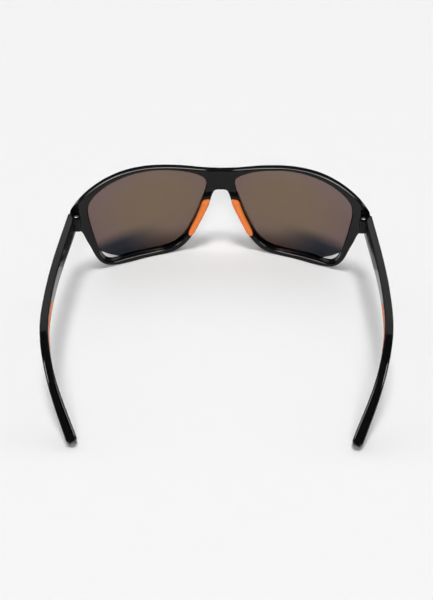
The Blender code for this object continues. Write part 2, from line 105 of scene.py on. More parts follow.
class Side(Enum):
    """A side of the wearer; the value is the sign of X."""

    LEFT = -1
    RIGHT = 1

    @property
    def word(self) -> str:
        """The side's name in lower case."""
        return self.name.lower()

    @property
    def body(self) -> str:
        """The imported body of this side's temple."""
        return f"{self.word}_temple"


class Body(Enum):
    """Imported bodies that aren't a temple."""

    FRONT = "front"


# ---------------------------------------------------------------- node trees


class Value:
    """A number in a node tree, for use in plain expressions."""

    def __init__(self, graph: "Graph", socket: bpy.types.NodeSocket) -> None:
        """Keep the tree and the socket that holds the number."""
        self.graph = graph
        self.socket = socket

    def math(self, operation: str, *others: "Value | float") -> "Value":
        """Add a Math node that starts from this number.

        Args:
            operation: the Math node's operation.
            others: its further operands.

        Returns:
            The node's result.
        """
        return self.graph.math(operation, self, *others)

    def __add__(self, other: "Value | float") -> "Value":
        """Sum with a number."""
        return self.math("ADD", other)

    __radd__ = __add__

    def __mul__(self, other: "Value | float") -> "Value":
        """Product with a number."""
        return self.math("MULTIPLY", other)

    __rmul__ = __mul__

    def __sub__(self, other: "Value | float") -> "Value":
        """Difference from a number."""
        return self.math("SUBTRACT", other)

    def __rsub__(self, other: "Value | float") -> "Value":
        """A number less this one."""
        return self.graph.math("SUBTRACT", other, self)

    def __truediv__(self, other: "Value | float") -> "Value":
        """Quotient by a number."""
        return self.math("DIVIDE", other)

    def __rtruediv__(self, other: "Value | float") -> "Value":
        """A number over this one."""
        return self.graph.math("DIVIDE", other, self)

    def __pow__(self, other: "Value | float") -> "Value":
        """Power of this number."""
        return self.math("POWER", other)

    def ramp(self, low: float, high: float) -> "Value":
        """Ease from 0 at one value to 1 at another.

        Args:
            low: the value that gives 0.
            high: the value that gives 1.

        Returns:
            The eased share.
        """
        inputs = {"Value": self, "From Min": low, "From Max": high}
        settings = {"interpolation_type": "SMOOTHSTEP"}
        return self.graph.value("ShaderNodeMapRange", settings, inputs)


class Graph:
    """A node tree with one way to add any node."""

    def __init__(self, tree: bpy.types.NodeTree) -> None:
        """Keep the tree that nodes are added to."""
        self.tree = tree

    def node(
        self, kind: str, settings: dict[str, Any] | None = None, inputs: dict[Any, Any] | None = None
    ) -> bpy.types.Node:
        """Add a node.

        Args:
            kind: the node's type.
            settings: its properties, set before its sockets.
            inputs: values or links of its sockets, by name or number.

        Returns:
            The new node.
        """
        made = self.tree.nodes.new(kind)
        for key, setting in (settings or {}).items():
            setattr(made, key, setting)
        for key, given in (inputs or {}).items():
            for one in given if isinstance(given, list) else [given]:
                source = one.socket if isinstance(one, Value) else one
                if isinstance(source, bpy.types.NodeSocket):
                    self.tree.links.new(source, made.inputs[key])
                else:
                    made.inputs[key].default_value = source
        return made

    def out(
        self, kind: str, settings: dict[str, Any] | None, inputs: dict[Any, Any] | None, output: Any = 0
    ) -> Any:
        """Add a node and return one of its output sockets.

        Args:
            kind: the node's type.
            settings: its properties.
            inputs: values or links of its sockets.
            output: name or number of the output.

        Returns:
            The output socket.
        """
        return self.node(kind, settings, inputs).outputs[output]

    def value(
        self, kind: str, settings: dict[str, Any] | None, inputs: dict[Any, Any] | None, output: Any = 0
    ) -> Value:
        """Add a node and return one of its outputs as a number for expressions.

        Args:
            kind: the node's type.
            settings: its properties.
            inputs: values or links of its sockets.
            output: name or number of the output.

        Returns:
            The output as a Value.
        """
        return Value(self, self.out(kind, settings, inputs, output))

    def math(self, operation: str, *operands: "Value | float") -> Value:
        """Add a Math node.

        Args:
            operation: its operation.
            operands: numbers or links for its sockets, in order.

        Returns:
            The node's result.
        """
        return self.value("ShaderNodeMath", {"operation": operation}, dict(enumerate(operands)))

    def parts(self, vector: bpy.types.NodeSocket) -> list["Value"]:
        """The X, Y and Z of a vector as numbers for expressions."""
        apart = self.node("ShaderNodeSeparateXYZ", None, {0: vector})
        return [Value(self, socket) for socket in apart.outputs]

    def mix(self, share: "Value | float", first: Any, second: Any) -> bpy.types.NodeSocket:
        """Blend two colours.

        Args:
            share: how much of the second colour.
            first: a colour or a link.
            second: a colour or a link.

        Returns:
            The blended colour's socket.
        """
        inputs = {0: share, 6: rgba(first), 7: rgba(second)}
        return self.out("ShaderNodeMix", {"data_type": "RGBA"}, inputs, 2)


def rgba(colour: Any) -> Any:
    """A colour with full opacity; links pass unchanged."""
    return (*colour, 1.0) if isinstance(colour, tuple) and len(colour) == 3 else colour


class ShaderGraph(Graph):
    """A material's node tree, with its Principled shader and pattern sources."""

    def __init__(self, name: str) -> None:
        """Start a material of that name.

        Args:
            name: the material's name.
        """
        self.material = bpy.data.materials.new(name)
        self.material.use_nodes = True
        super().__init__(self.material.node_tree)
        self.shader = self.tree.nodes["Principled BSDF"]
        self.place = self.out("ShaderNodeTexCoord", None, None, "Object")

    def set(self, **inputs: Any) -> None:
        """Set or link sockets of the shader.

        Args:
            inputs: values or links by socket name, with underscores for spaces.
        """
        for key, given in inputs.items():
            socket = self.shader.inputs[key.replace("_", " ")]
            source = given.socket if isinstance(given, Value) else rgba(given)
            if isinstance(source, bpy.types.NodeSocket):
                self.tree.links.new(source, socket)
            else:
                socket.default_value = source

    def noise(self, scale: float, detail: float = 2.0, stretch: Colour = (1.0, 1.0, 1.0)) -> Value:
        """Smooth noise over the piece.

        Args:
            scale: features in a metre.
            detail: octaves.
            stretch: scale of each axis.

        Returns:
            Noise from 0 to 1.
        """
        place = self.out("ShaderNodeMapping", None, {"Vector": self.place, "Scale": stretch})
        return self.value("ShaderNodeTexNoise", None, {"Vector": place, "Scale": scale, "Detail": detail})

    def bump(self, height: Value, strength: float, distance: float) -> bpy.types.NodeSocket:
        """Turn heights into a shading normal.

        Args:
            height: the height pattern.
            strength: how strongly it shows.
            distance: the height of a full step, in metres.

        Returns:
            The normal's socket.
        """
        inputs = {"Height": height, "Strength": strength, "Distance": distance}
        return self.out("ShaderNodeBump", None, inputs, "Normal")


class GeometryGraph(Graph):
    """A geometry node tree with named inputs that ends in real, dressed faces."""

    def __init__(self, name: str, inputs: dict[str, str]) -> None:
        """Start a tree.

        Args:
            name: the tree's name.
            inputs: socket type of each named input besides the geometry and the material.
        """
        tree = bpy.data.node_groups.new(name, "GeometryNodeTree")
        super().__init__(tree)
        sockets = {"Geometry": "NodeSocketGeometry", **inputs, "Material": "NodeSocketMaterial"}
        for label, kind in sockets.items():
            tree.interface.new_socket(label, in_out="INPUT", socket_type=kind)
        tree.interface.new_socket("Geometry", in_out="OUTPUT", socket_type="NodeSocketGeometry")
        self.start = tree.nodes.new("NodeGroupInput")

    def given(self, label: str) -> Value:
        """A named input as a number for expressions."""
        return Value(self, self.start.outputs[label])

    def close(self, geometry: bpy.types.NodeSocket) -> None:
        """End the tree: realize the geometry, set its material and hand it over.

        Args:
            geometry: the finished geometry's socket.
        """
        real = self.out("GeometryNodeRealizeInstances", None, {"Geometry": geometry})
        inputs = {"Geometry": real, "Material": self.start.outputs["Material"]}
        dressed = self.out("GeometryNodeSetMaterial", None, inputs)
        self.tree.links.new(dressed, self.tree.nodes.new("NodeGroupOutput").inputs[0])

    def grow(self, name: str, source: bpy.types.Mesh, values: dict[str, Any]) -> bpy.types.Object:
        """Run the tree on a mesh and keep the result as a plain mesh.

        Args:
            name: the new object's name.
            source: the mesh that the tree starts from.
            values: value of each named input.

        Returns:
            The new object, with no modifier left.
        """
        seed = bpy.data.objects.new(name + "_source", source)
        bpy.context.scene.collection.objects.link(seed)
        modifier = seed.modifiers.new(name, "NODES")
        modifier.node_group = self.tree
        for item in self.tree.interface.items_tree:
            if item.in_out == "INPUT" and item.name in values:
                modifier[item.identifier] = values[item.name]
        return evaluated(seed, name)


# ---------------------------------------------------------------- meshes


def evaluated(thing: bpy.types.Object, name: str) -> bpy.types.Object:
    """Replace an object by a plain copy of what its modifiers make.

    Args:
        thing: the object, which is removed.
        name: the copy's name.

    Returns:
        The plain object.
    """
    depsgraph = bpy.context.evaluated_depsgraph_get()
    mesh = bpy.data.meshes.new_from_object(thing.evaluated_get(depsgraph), depsgraph=depsgraph)
    bpy.data.objects.remove(thing)
    mesh.name = name
    made = bpy.data.objects.new(name, mesh)
    bpy.context.scene.collection.objects.link(made)
    return made


def skin(name: str, rings: Rings, closed: bool = False) -> bpy.types.Mesh:
    """A skin over rings of equal length, with its normals outward.

    Args:
        name: the mesh's name.
        rings: the sections, in order.
        closed: whether the last ring joins the first; otherwise both ends are capped.

    Returns:
        The mesh.
    """
    count = len(rings[0])
    points = [point for ring in rings for point in ring]
    faces: list[tuple[int, ...]] = []
    for index in range(len(rings) if closed else len(rings) - 1):
        here, there = index * count, (index + 1) % len(rings) * count
        for step in range(count):
            beside = (step + 1) % count
            faces.append((here + step, here + beside, there + beside, there + step))
    if not closed:
        faces.append(tuple(reversed(range(count))))
        faces.append(tuple(range(len(points) - count, len(points))))
    mesh = bpy.data.meshes.new(name)
    mesh.from_pydata(points, [], faces)
    tidy(mesh)
    return mesh


def tidy(mesh: bpy.types.Mesh, merge: float = 0.000002) -> None:
    """Merge doubles, turn the normals outward and shade smooth up to sharp edges.

    Args:
        mesh: the mesh.
        merge: how close two points are one.
    """
    work = bmesh.new()
    work.from_mesh(mesh)
    bmesh.ops.remove_doubles(work, verts=work.verts, dist=merge)
    bmesh.ops.recalc_face_normals(work, faces=work.faces)
    work.to_mesh(mesh)
    work.free()
    mesh.shade_smooth()
    mesh.set_sharp_from_angle(angle=SHARP_FROM)


def linked(name: str, mesh: bpy.types.Mesh) -> bpy.types.Object:
    """An object in the scene with that mesh.

    Args:
        name: the object's name.
        mesh: its mesh.

    Returns:
        The object.
    """
    made = bpy.data.objects.new(name, mesh)
    bpy.context.scene.collection.objects.link(made)
    return made


def combined(base: bpy.types.Object, steps: Sequence[tuple[str, bpy.types.Object]]) -> bpy.types.Object:
    """Join tools to a piece or cut them from it, in order, and use the tools up.

    Args:
        base: the piece.
        steps: pairs of a Boolean operation and its tool.

    Returns:
        The finished plain object, under the piece's name.
    """
    name = base.name
    for operation, tool in steps:
        modifier = base.modifiers.new(tool.name, "BOOLEAN")
        modifier.operation = operation
        modifier.solver = "EXACT"
        modifier.object = tool
    made = evaluated(base, name)
    for _, tool in steps:
        bpy.data.objects.remove(tool)
    made.name = name
    tidy(made.data)
    return made


def softened(thing: bpy.types.Object, width: float, steps: int = 3) -> bpy.types.Object:
    """Round an object's sharp edges.

    Args:
        thing: the object.
        width: the rounding's width.
        steps: its segments.

    Returns:
        The rounded plain object.
    """
    bevel = thing.modifiers.new("edges", "BEVEL")
    bevel.width = width
    bevel.segments = steps
    bevel.angle_limit = BEVEL_FROM
    made = evaluated(thing, thing.name)
    tidy(made.data)
    return made


def prism(name: str, outline: Sequence[tuple[float, float]], low: float, high: float) -> bpy.types.Object:
    """An upright solid over an outline in plan.

    Args:
        name: the object's name.
        outline: its corners.
        low: its lowest height.
        high: its highest height.

    Returns:
        The solid.
    """
    return linked(name, skin(name, [[Vector((x, y, z)) for x, y in outline] for z in (low, high)]))


def circle(sides: int = ROUND_SIDES) -> list[tuple[float, float]]:
    """Cosine and sine of the corners of a circle."""
    turns = [2 * math.pi * step / sides for step in range(sides)]
    return [(math.cos(turn), math.sin(turn)) for turn in turns]


def turned(name: str, profile: Sequence[tuple[float, float]], axis: Vector) -> bpy.types.Object:
    """A solid turned about an upright axis.

    Args:
        name: the object's name.
        profile: radius and height of each corner, from the axis round to the axis.
        axis: a point on the axis; heights count from the origin.

    Returns:
        The solid.
    """
    rings = [[Vector((axis.x + radius * x, axis.y + radius * y, height)) for x, y in circle()]
             for radius, height in profile]
    return linked(name, skin(name, rings))


def kept_side(mesh: bpy.types.Mesh, dropped: Vector, fill: bool) -> None:
    """Cut a mesh at a plane through the origin and keep one side.

    Args:
        mesh: the mesh.
        dropped: the way from the plane to the side that goes.
        fill: whether the cut is closed.
    """
    work = bmesh.new()
    work.from_mesh(mesh)
    everything = work.verts[:] + work.edges[:] + work.faces[:]
    plane = {"plane_co": (0, 0, 0), "plane_no": dropped}
    cut = bmesh.ops.bisect_plane(work, geom=everything, clear_outer=True, **plane)
    if fill:
        edges = [item for item in cut["geom_cut"] if isinstance(item, bmesh.types.BMEdge)]
        bmesh.ops.holes_fill(work, edges=edges)
    work.to_mesh(mesh)
    work.free()


def arc(
    centre: Vector, radius: float, start: float, end: float, steps: int = 16
) -> list[tuple[float, float]]:
    """Points of an arc in plan, between two angles in degrees.

    Args:
        centre: its centre.
        radius: its radius.
        start: the first angle.
        end: the last angle.
        steps: its segments.

    Returns:
        The points as (x, y).
    """
    turns = [math.radians(start + (end - start) * step / steps) for step in range(steps + 1)]
    return [(centre.x + radius * math.cos(turn), centre.y + radius * math.sin(turn)) for turn in turns]


def mirrored(points: Sequence[Vector], side: Side) -> list[Vector]:
    """The points on the given side; they are drawn for the right."""
    return [Vector((side.value * point.x, point.y, point.z)) for point in points]


def eased(start: float, end: float, count: int) -> list[float]:
    """Numbers from start up to but without end, closer together near both."""
    return [start + (end - start) * (1 - math.cos(math.pi * step / count)) / 2 for step in range(count)]


def smooth_step(value: float) -> float:
    """Ease from 0 to 1 while the value goes from 0 to 1."""
    value = min(1.0, max(0.0, value))
    return value * value * (3.0 - 2.0 * value)


def slopes_of(points: np.ndarray, chords: np.ndarray, closed: bool) -> np.ndarray:
    """Slopes of the curve of even curvature through points.

    Args:
        points: one row for each point.
        chords: parameter step from each point to the next.
        closed: whether the curve is closed; an open one keeps its end slopes.

    Returns:
        The slope at each point.
    """
    count = len(points)
    system = np.zeros((count, count))
    right = np.zeros_like(points, dtype=float)
    for index in range(count):
        if not closed and index in (0, count - 1):
            near, far = (0, 1) if index == 0 else (count - 2, count - 1)
            system[index, index] = 1.0
            right[index] = (points[far] - points[near]) / chords[near]
            continue
        before, after = chords[index - 1], chords[index]
        behind, ahead = (index - 1) % count, (index + 1) % count
        system[index, behind] += after
        system[index, index] += 2 * (before + after)
        system[index, ahead] += before
        right[index] = 3 * (after * (points[index] - points[behind]) / before
                            + before * (points[ahead] - points[index]) / after)
    return np.linalg.solve(system, right)


def hermite(start: Any, end: Any, start_slope: Any, end_slope: Any, span: float, share: float) -> Any:
    """Point of a cubic between two points with their slopes.

    Args:
        start: the first point.
        end: the last point.
        start_slope: the slope at the first.
        end_slope: the slope at the last.
        span: the parameter's step between them.
        share: how far along, from 0 to 1.

    Returns:
        The point.
    """
    square, cube = share ** 2, share ** 3
    return ((2 * cube - 3 * square + 1) * start + (cube - 2 * square + share) * span * start_slope
            + (3 * square - 2 * cube) * end + (cube - square) * span * end_slope)


def closed_curve(points: np.ndarray, steps: int, blur: float) -> np.ndarray:
    """Points along a smooth closed curve through given points.

    Args:
        points: one row for each point.
        steps: new points for each given one.
        blur: width of the smoothing, in new points.

    Returns:
        The new points, one row each.
    """
    count = len(points)
    chords = np.sqrt(np.linalg.norm(np.roll(points, -1, axis=0) - points, axis=1))
    slopes = slopes_of(points, chords, closed=True)
    dense = np.array([
        hermite(points[index], points[(index + 1) % count], slopes[index], slopes[(index + 1) % count],
                chords[index], step / steps)
        for index in range(count) for step in range(steps)
    ])
    reach = round(3 * blur)
    weights = {shift: math.exp(-0.5 * (shift / blur) ** 2) for shift in range(-reach, reach + 1)}
    total = sum(weights.values())
    return sum(np.roll(dense, shift, axis=0) * weight for shift, weight in weights.items()) / total


class Track:
    """A smooth curve through (share, value) pairs."""

    def __init__(self, table: Sequence[tuple[float, float]]) -> None:
        """Fit the curve.

        Args:
            table: the pairs, in order of share.
        """
        self.shares, self.values = (np.array(column, dtype=float) for column in zip(*table))
        self.chords = np.diff(self.shares)
        self.slopes = slopes_of(self.values, self.chords, closed=False)

    def at(self, share: float) -> float:
        """Value at a share; past the ends the curve runs straight on.

        Args:
            share: where along the curve.

        Returns:
            The value.
        """
        index = int(np.clip(np.searchsorted(self.shares, share) - 1, 0, len(self.chords) - 1))
        local = (share - self.shares[index]) / self.chords[index]
        if 0.0 <= local <= 1.0:
            return float(hermite(self.values[index], self.values[index + 1], self.slopes[index],
                                 self.slopes[index + 1], self.chords[index], local))
        end = index if local < 0 else index + 1
        return float(self.values[end] + self.slopes[end] * (share - self.shares[end]))


# ---------------------------------------------------------------- finishes


@dataclass(frozen=True)
class GlossyPlastic:
    """Black injection-moulded plastic: a deep gloss with faint flow, dust and hairline wear."""

    name: str = "glossy_black_plastic"
    colour: Colour = (0.0026, 0.0025, 0.0026)
    wear_colour: Colour = (0.0060, 0.0058, 0.0056)
    roughness: float = 0.055
    refraction: float = 1.31

    def build(self) -> bpy.types.Material:
        """The finish as a material.

        Returns:
            The material.
        """
        graph = ShaderGraph(self.name)
        flow = graph.noise(90.0, 3.0)
        peel = graph.noise(900.0, 2.0)
        hairline = graph.noise(2600.0, 2.0, (0.06, 1.0, 0.3)).ramp(0.70, 0.78)
        speck = graph.noise(5200.0, 1.0).ramp(0.74, 0.80)
        graph.set(
            Base_Color=graph.mix(speck * 0.5 + flow.ramp(0.45, 0.75) * 0.25, self.colour, self.wear_colour),
            Roughness=flow * 0.05 + self.roughness + hairline * 0.05 + speck * 0.10,
            IOR=self.refraction,
            Normal=graph.bump(peel + flow * 2.0, 0.05, 0.02 * MM),
        )
        return graph.material


@dataclass(frozen=True)
class CoatedLens:
    """Brown coated lens, with a pinkish-purple painted sheen toward its edge, a painted dark reflection
    toward its foot and a painted navy reflection at its lower outer corner.
    """

    name: str = "brown_mirror_lens"
    centre: Colour = (0.228, 0.158, 0.101)
    # painted sheen: the coating's pinkish-purple shift at grazing angles, painted toward the lens's edge
    edge: Colour = (0.200, 0.128, 0.124)
    # painted shade: the lens darkened toward its foot, standing in for a dark reflection
    foot: Colour = (0.060, 0.036, 0.024)
    # painted reflection: a navy dark reflection painted at the lower outer corner
    corner: Colour = (0.010, 0.014, 0.024)
    foot_from: float = 13.0 * MM
    foot_to: float = 3.5 * MM
    roughness: float = 0.018
    cover: float = 0.84

    def build(self) -> bpy.types.Material:
        """The finish as a material.

        Returns:
            The material.
        """
        graph = ShaderGraph(self.name)
        near_edge = graph.value("ShaderNodeAttribute", {"attribute_name": EDGE_SHARE}, None, "Fac")
        relief = graph.value("ShaderNodeAttribute", {"attribute_name": RELIEF}, None, "Fac")
        drift = graph.noise(38.0, 2.0)
        # painted sheen toward the edge, mixed with a random drift in tone
        edge_sheen_and_drift = (near_edge ** 3.0) * 0.9 + (drift - 0.5) * 0.25
        smear = graph.noise(120.0, 4.0, (1.0, 1.0, 0.35)).ramp(0.55, 0.80)
        dust = graph.noise(4200.0, 1.0).ramp(0.76, 0.80)
        across, _, height = graph.parts(graph.place)
        # painted shade: the lower part of the lens darkened in place of a dark reflection
        low = height.ramp(self.foot_from, self.foot_to) * 0.85
        # painted reflection: navy at the lower outer corner, set by place on the lens
        outer = across.math("ABSOLUTE").ramp(22.0 * MM, 50.0 * MM) * height.ramp(17.0 * MM, 9.0 * MM)
        sheen_and_painted_shade = graph.mix(low, graph.mix(edge_sheen_and_drift, self.centre, self.edge), self.foot)
        graph.set(
            Base_Color=graph.mix(outer, sheen_and_painted_shade, self.corner),
            Metallic=1.0,
            Roughness=smear * 0.02 + self.roughness + dust * 0.12,
            Alpha=self.cover,
            Normal=graph.bump(relief + drift * (0.0004 * MM), 1.0, 1.0),
        )
        return graph.material


@dataclass(frozen=True)
class SoftRubber:
    """Matt orange rubber with a fine moulded grain."""

    name: str = "orange_soft_rubber"
    colour: Colour = (1.0, 0.250, 0.042)
    deep_colour: Colour = (0.95, 0.180, 0.026)
    roughness: float = 0.46

    def build(self) -> bpy.types.Material:
        """The finish as a material.

        Returns:
            The material.
        """
        graph = ShaderGraph(self.name)
        grain = graph.noise(3200.0, 3.0)
        patch = graph.noise(260.0, 2.0)
        graph.set(
            Base_Color=graph.mix(patch.ramp(0.35, 0.75) * 0.35, self.colour, self.deep_colour),
            Roughness=grain * 0.16 + self.roughness,
            IOR=1.45,
            Normal=graph.bump(grain + patch * 0.6, 0.22, 0.03 * MM),
        )
        return graph.material


@dataclass(frozen=True)
class TurnedMetal:
    """Turned metal: fine rings from the tool, and a little tarnish."""

    name: str
    colour: Colour
    tarnish: Colour
    roughness: float

    def build(self) -> bpy.types.Material:
        """The finish as a material.

        Returns:
            The material.
        """
        graph = ShaderGraph(self.name)
        rings = graph.noise(9000.0, 2.0, (0.15, 0.15, 1.0))
        stain = graph.noise(1400.0, 3.0)
        graph.set(
            Base_Color=graph.mix(stain.ramp(0.45, 0.80) * 0.6, self.colour, self.tarnish),
            Metallic=1.0,
            Roughness=rings * 0.12 + self.roughness + stain * 0.08,
            Normal=graph.bump(rings, 0.20, 0.01 * MM),
        )
        return graph.material


STEEL = TurnedMetal("turned_steel", (0.58, 0.58, 0.60), (0.36, 0.35, 0.35), 0.22)
BRASS = TurnedMetal("turned_brass", (0.72, 0.52, 0.22), (0.44, 0.28, 0.11), 0.28)
EDGE_SHARE = "edge_share"
RELIEF = "relief"


# ---------------------------------------------------------------- the front's surface


@dataclass(frozen=True)
class FaceSurface:
    """The curved surface that the front, the lenses and the nose cushions follow."""

    front_y: float = 75.5 * MM
    face_radius: float = 92.7 * MM
    brow_radius: float = 120.0 * MM
    tilt: float = math.radians(4.4)
    bridge_top: float = 41.7 * MM
    middle: float = 23.55 * MM

    def at(self, x: float, z: float) -> float:
        """Y of the outer surface.

        Args:
            x: distance from the middle.
            z: height over the table.

        Returns:
            Its Y.
        """
        wrap = self.face_radius - math.sqrt(self.face_radius ** 2 - x ** 2)
        bulge = ((z - self.middle) ** 2 - (self.bridge_top - self.middle) ** 2) / (2 * self.brow_radius)
        return self.front_y - wrap - bulge + (z - self.bridge_top) * math.tan(self.tilt)

    def wrapping(self) -> GeometryGraph:
        """The node tree that bends a piece drawn flat, as (x, depth, z), onto the surface.

        Returns:
            The tree; its inputs are the surface's sizes.
        """
        labels = ("Front Y", "Face radius", "Brow radius", "Tilt", "Bridge top", "Middle")
        graph = GeometryGraph("wrap_onto_face", {label: "NodeSocketFloat" for label in labels})
        front, radius, brow, tilt, top, middle = (graph.given(label) for label in labels)
        x, depth, z = graph.parts(graph.out("GeometryNodeInputPosition", None, None))
        reach = (radius * radius - x * x).math("SQRT")
        bulge = ((z - middle) * (z - middle) - (top - middle) * (top - middle)) / (brow * 2.0)
        lean = (z - top) * tilt.math("TANGENT")
        y = front - (radius - reach) - bulge + lean - depth * radius / reach
        bent = graph.out("ShaderNodeCombineXYZ", None, {0: x, 1: y, 2: z})
        inputs = {"Geometry": graph.start.outputs["Geometry"], "Position": bent}
        graph.close(graph.out("GeometryNodeSetPosition", None, inputs))
        return graph

    def inputs(self, finish: bpy.types.Material) -> dict[str, Any]:
        """Values of the wrapping tree's inputs, with a finish."""
        return {
            "Front Y": self.front_y, "Face radius": self.face_radius, "Brow radius": self.brow_radius,
            "Tilt": self.tilt, "Bridge top": self.bridge_top, "Middle": self.middle, "Material": finish,
        }


@dataclass(frozen=True)
class Place:
    """One place round the eye: the opening's edge, the rim's width and the way outward."""

    position: float
    opening: Vector
    outward: Vector
    width: float
    depth: float
    skew_inside: float
    skew_outside: float

    def at(self, distance: float, depth: float) -> Vector:
        """Flat point (x, depth, z) at a distance outward from the opening."""
        flat = self.opening + self.outward * distance
        return Vector((flat.x, depth, flat.y))


@dataclass
class EyeOutline:
    """The outline round one eye: opening and rim, from under the bridge over the brow and back."""

    steps: int = 12
    blur: float = 2.6
    half_width: float = 70.5 * MM
    height: float = 47.1 * MM
    groove_back: float = 2.8 * MM
    lip_brow: float = 0.6 * MM
    lip_temple_side: float = 0.8 * MM
    lip_cheek: float = 2.5 * MM
    lip_nose: float = 1.5 * MM
    seat_end: float = 0.7
    seat_fade: float = 1.6
    # where the depth changes, as (start, span) in shares of the half width or the height
    temple_side: tuple[float, float] = (0.6, 0.2)
    brow: tuple[float, float] = (0.1, 0.3)
    nose: tuple[float, float] = (0.12, 0.12)
    # (opening x, z, rim outside x, z) in millimetres; past the middle the rim runs on, to be cut there
    drawn: Sequence[tuple[float, float, float, float]] = (
        (9.6, 24.0, 5.4, 24.3), (8.7, 27.0, 4.3, 27.9), (7.9, 29.6, 3.1, 29.9),
        (7.3, 32.0, 1.2, 30.5), (7.08, 32.9, -1.2, 30.5), (7.0, 33.6, -3.6, 30.0),
        (7.0, 34.3, -8.5, 32.5), (7.0, 35.1, -9.5, 38.0), (7.2, 36.0, -6.8, 41.9),
        (7.5, 36.8, -2.5, 41.7), (8.9, 38.2, 2.5, 41.7), (11.0, 39.4, 7.0, 42.0),
        (14.5, 40.9, 12.5, 42.9), (19.5, 42.4, 18.5, 44.1), (25.5, 43.7, 25.5, 45.4),
        (32.0, 44.7, 32.5, 46.5), (39.0, 45.0, 40.0, 47.1), (46.0, 44.4, 47.5, 46.9),
        (52.0, 43.0, 54.5, 45.5), (56.8, 40.8, 60.8, 43.1), (60.2, 37.9, 66.0, 39.8),
        (61.6, 34.8, 70.0, 34.9), (61.8, 31.4, 70.4, 30.5), (61.5, 28.2, 70.3, 25.9),
        (61.1, 25.2, 66.3, 25.1), (60.2, 19.8, 63.8, 19.6), (59.1, 14.4, 61.9, 14.0),
        (58.3, 10.0, 60.4, 9.5), (56.9, 5.9, 58.5, 5.3), (54.4, 3.0, 55.6, 1.8),
        (51.0, 2.1, 51.7, 0.2), (46.0, 2.4, 46.2, -0.2), (38.0, 2.3, 38.0, -0.3),
        (30.0, 2.2, 29.5, -0.3), (24.2, 3.0, 22.8, 0.5), (19.8, 5.2, 17.4, 3.7),
        (16.4, 9.4, 13.3, 8.6), (13.0, 15.6, 9.5, 15.5), (10.9, 20.4, 6.9, 20.7),
    )
    places: list[Place] = field(init=False)

    def __post_init__(self) -> None:
        """Work out every place round the eye."""
        table = np.array(self.drawn) * MM
        opening = closed_curve(table[:, :2], self.steps, self.blur)
        outside = closed_curve(table[:, 2:], self.steps, self.blur)
        across = outside - opening
        widths = np.linalg.norm(across, axis=1)
        outward = across / widths[:, None]
        self.places = [
            Place(index / self.steps, Vector(opening[index]), Vector(outward[index]), float(widths[index]),
                  self.rim_depth(*outside[index], index / self.steps), self.skew(opening, outward, index),
                  self.skew(outside, outward, index))
            for index in range(len(opening))
        ]

    @staticmethod
    def skew(curve: np.ndarray, outward: np.ndarray, index: int) -> float:
        """How square a section meets a curve: 1 is square, less is slanted.

        Args:
            curve: the curve's points.
            outward: the section's way at each point.
            index: which point.

        Returns:
            How square it is.
        """
        along = curve[(index + 1) % len(curve)] - curve[index - 1]
        along = along / max(np.linalg.norm(along), 1e-9)
        return float(max(0.55, abs(along[0] * outward[index][1] - along[1] * outward[index][0])))

    def rim_depth(self, x: float, z: float, position: float) -> float:
        """Depth of the rim, which is deepest along the cheek and rises to seat the nose cushions.

        Args:
            x: distance of the rim's outside from the middle.
            z: its height.
            position: where round the eye, counted in drawn points.

        Returns:
            The depth.
        """
        toward_temple = smooth_step((x / self.half_width - self.temple_side[0]) / self.temple_side[1])
        lower = self.lip_cheek + (self.lip_temple_side - self.lip_cheek) * toward_temple
        lip = lower + (self.lip_brow - lower) * smooth_step((z / self.height - self.brow[0]) / self.brow[1])
        past_pad = position if position < len(self.drawn) / 2 else 0.0
        seat = 1.0 - smooth_step((x / self.half_width - self.nose[0]) / self.nose[1])
        seat *= 1.0 - smooth_step((past_pad - self.seat_end) / self.seat_fade)
        return self.groove_back + lip + max(0.0, self.lip_nose - lip) * seat

    def near(self, position: float) -> Place:
        """The place nearest to a position counted in drawn points."""
        return self.places[round(position * self.steps) % len(self.places)]


# ---------------------------------------------------------------- sub-assemblies


@dataclass
class Hinge:
    """Where a temple is hinged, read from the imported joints, and the sizes that meet there."""

    side: Side
    axis: Vector
    barrel: float = 1.75 * MM
    gap: float = 0.3 * MM
    clearance: float = 0.45 * MM
    block_height: float = 6.7 * MM
    heel: float = 1.15 * MM
    tongue_height: float = 2.4 * MM
    tongue_root: float = 2.2 * MM
    screw_radius: float = 0.6 * MM
    screw_play: float = 0.15 * MM

    @classmethod
    def read(cls, frame: dict[str, Any], side: Side) -> "Hinge":
        """The hinge of one side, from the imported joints.

        Args:
            side: the wearer's side.

        Returns:
            The hinge.
        """
        joint = next(joint for joint in frame["joints"] if joint["child"] == side.body)
        return cls(side, Vector(joint["pos_m"]))

    @property
    def seam_y(self) -> float:
        """Rear face of the front's end piece."""
        return self.axis.y + self.barrel + self.clearance

    @property
    def right(self) -> Vector:
        """The hinge's point as drawn for the right side."""
        return Vector((abs(self.axis.x), self.axis.y, self.axis.z))

    def tongue_span(self, growth: float = 0.0) -> tuple[float, float]:
        """Lowest and highest height of the front's tongue, grown by a clearance."""
        half = self.tongue_height / 2 + growth
        return self.axis.z - half, self.axis.z + half

    def block_span(self) -> tuple[float, float]:
        """Lowest and highest height of the temple's block."""
        return self.axis.z - self.block_height / 2, self.axis.z + self.block_height / 2


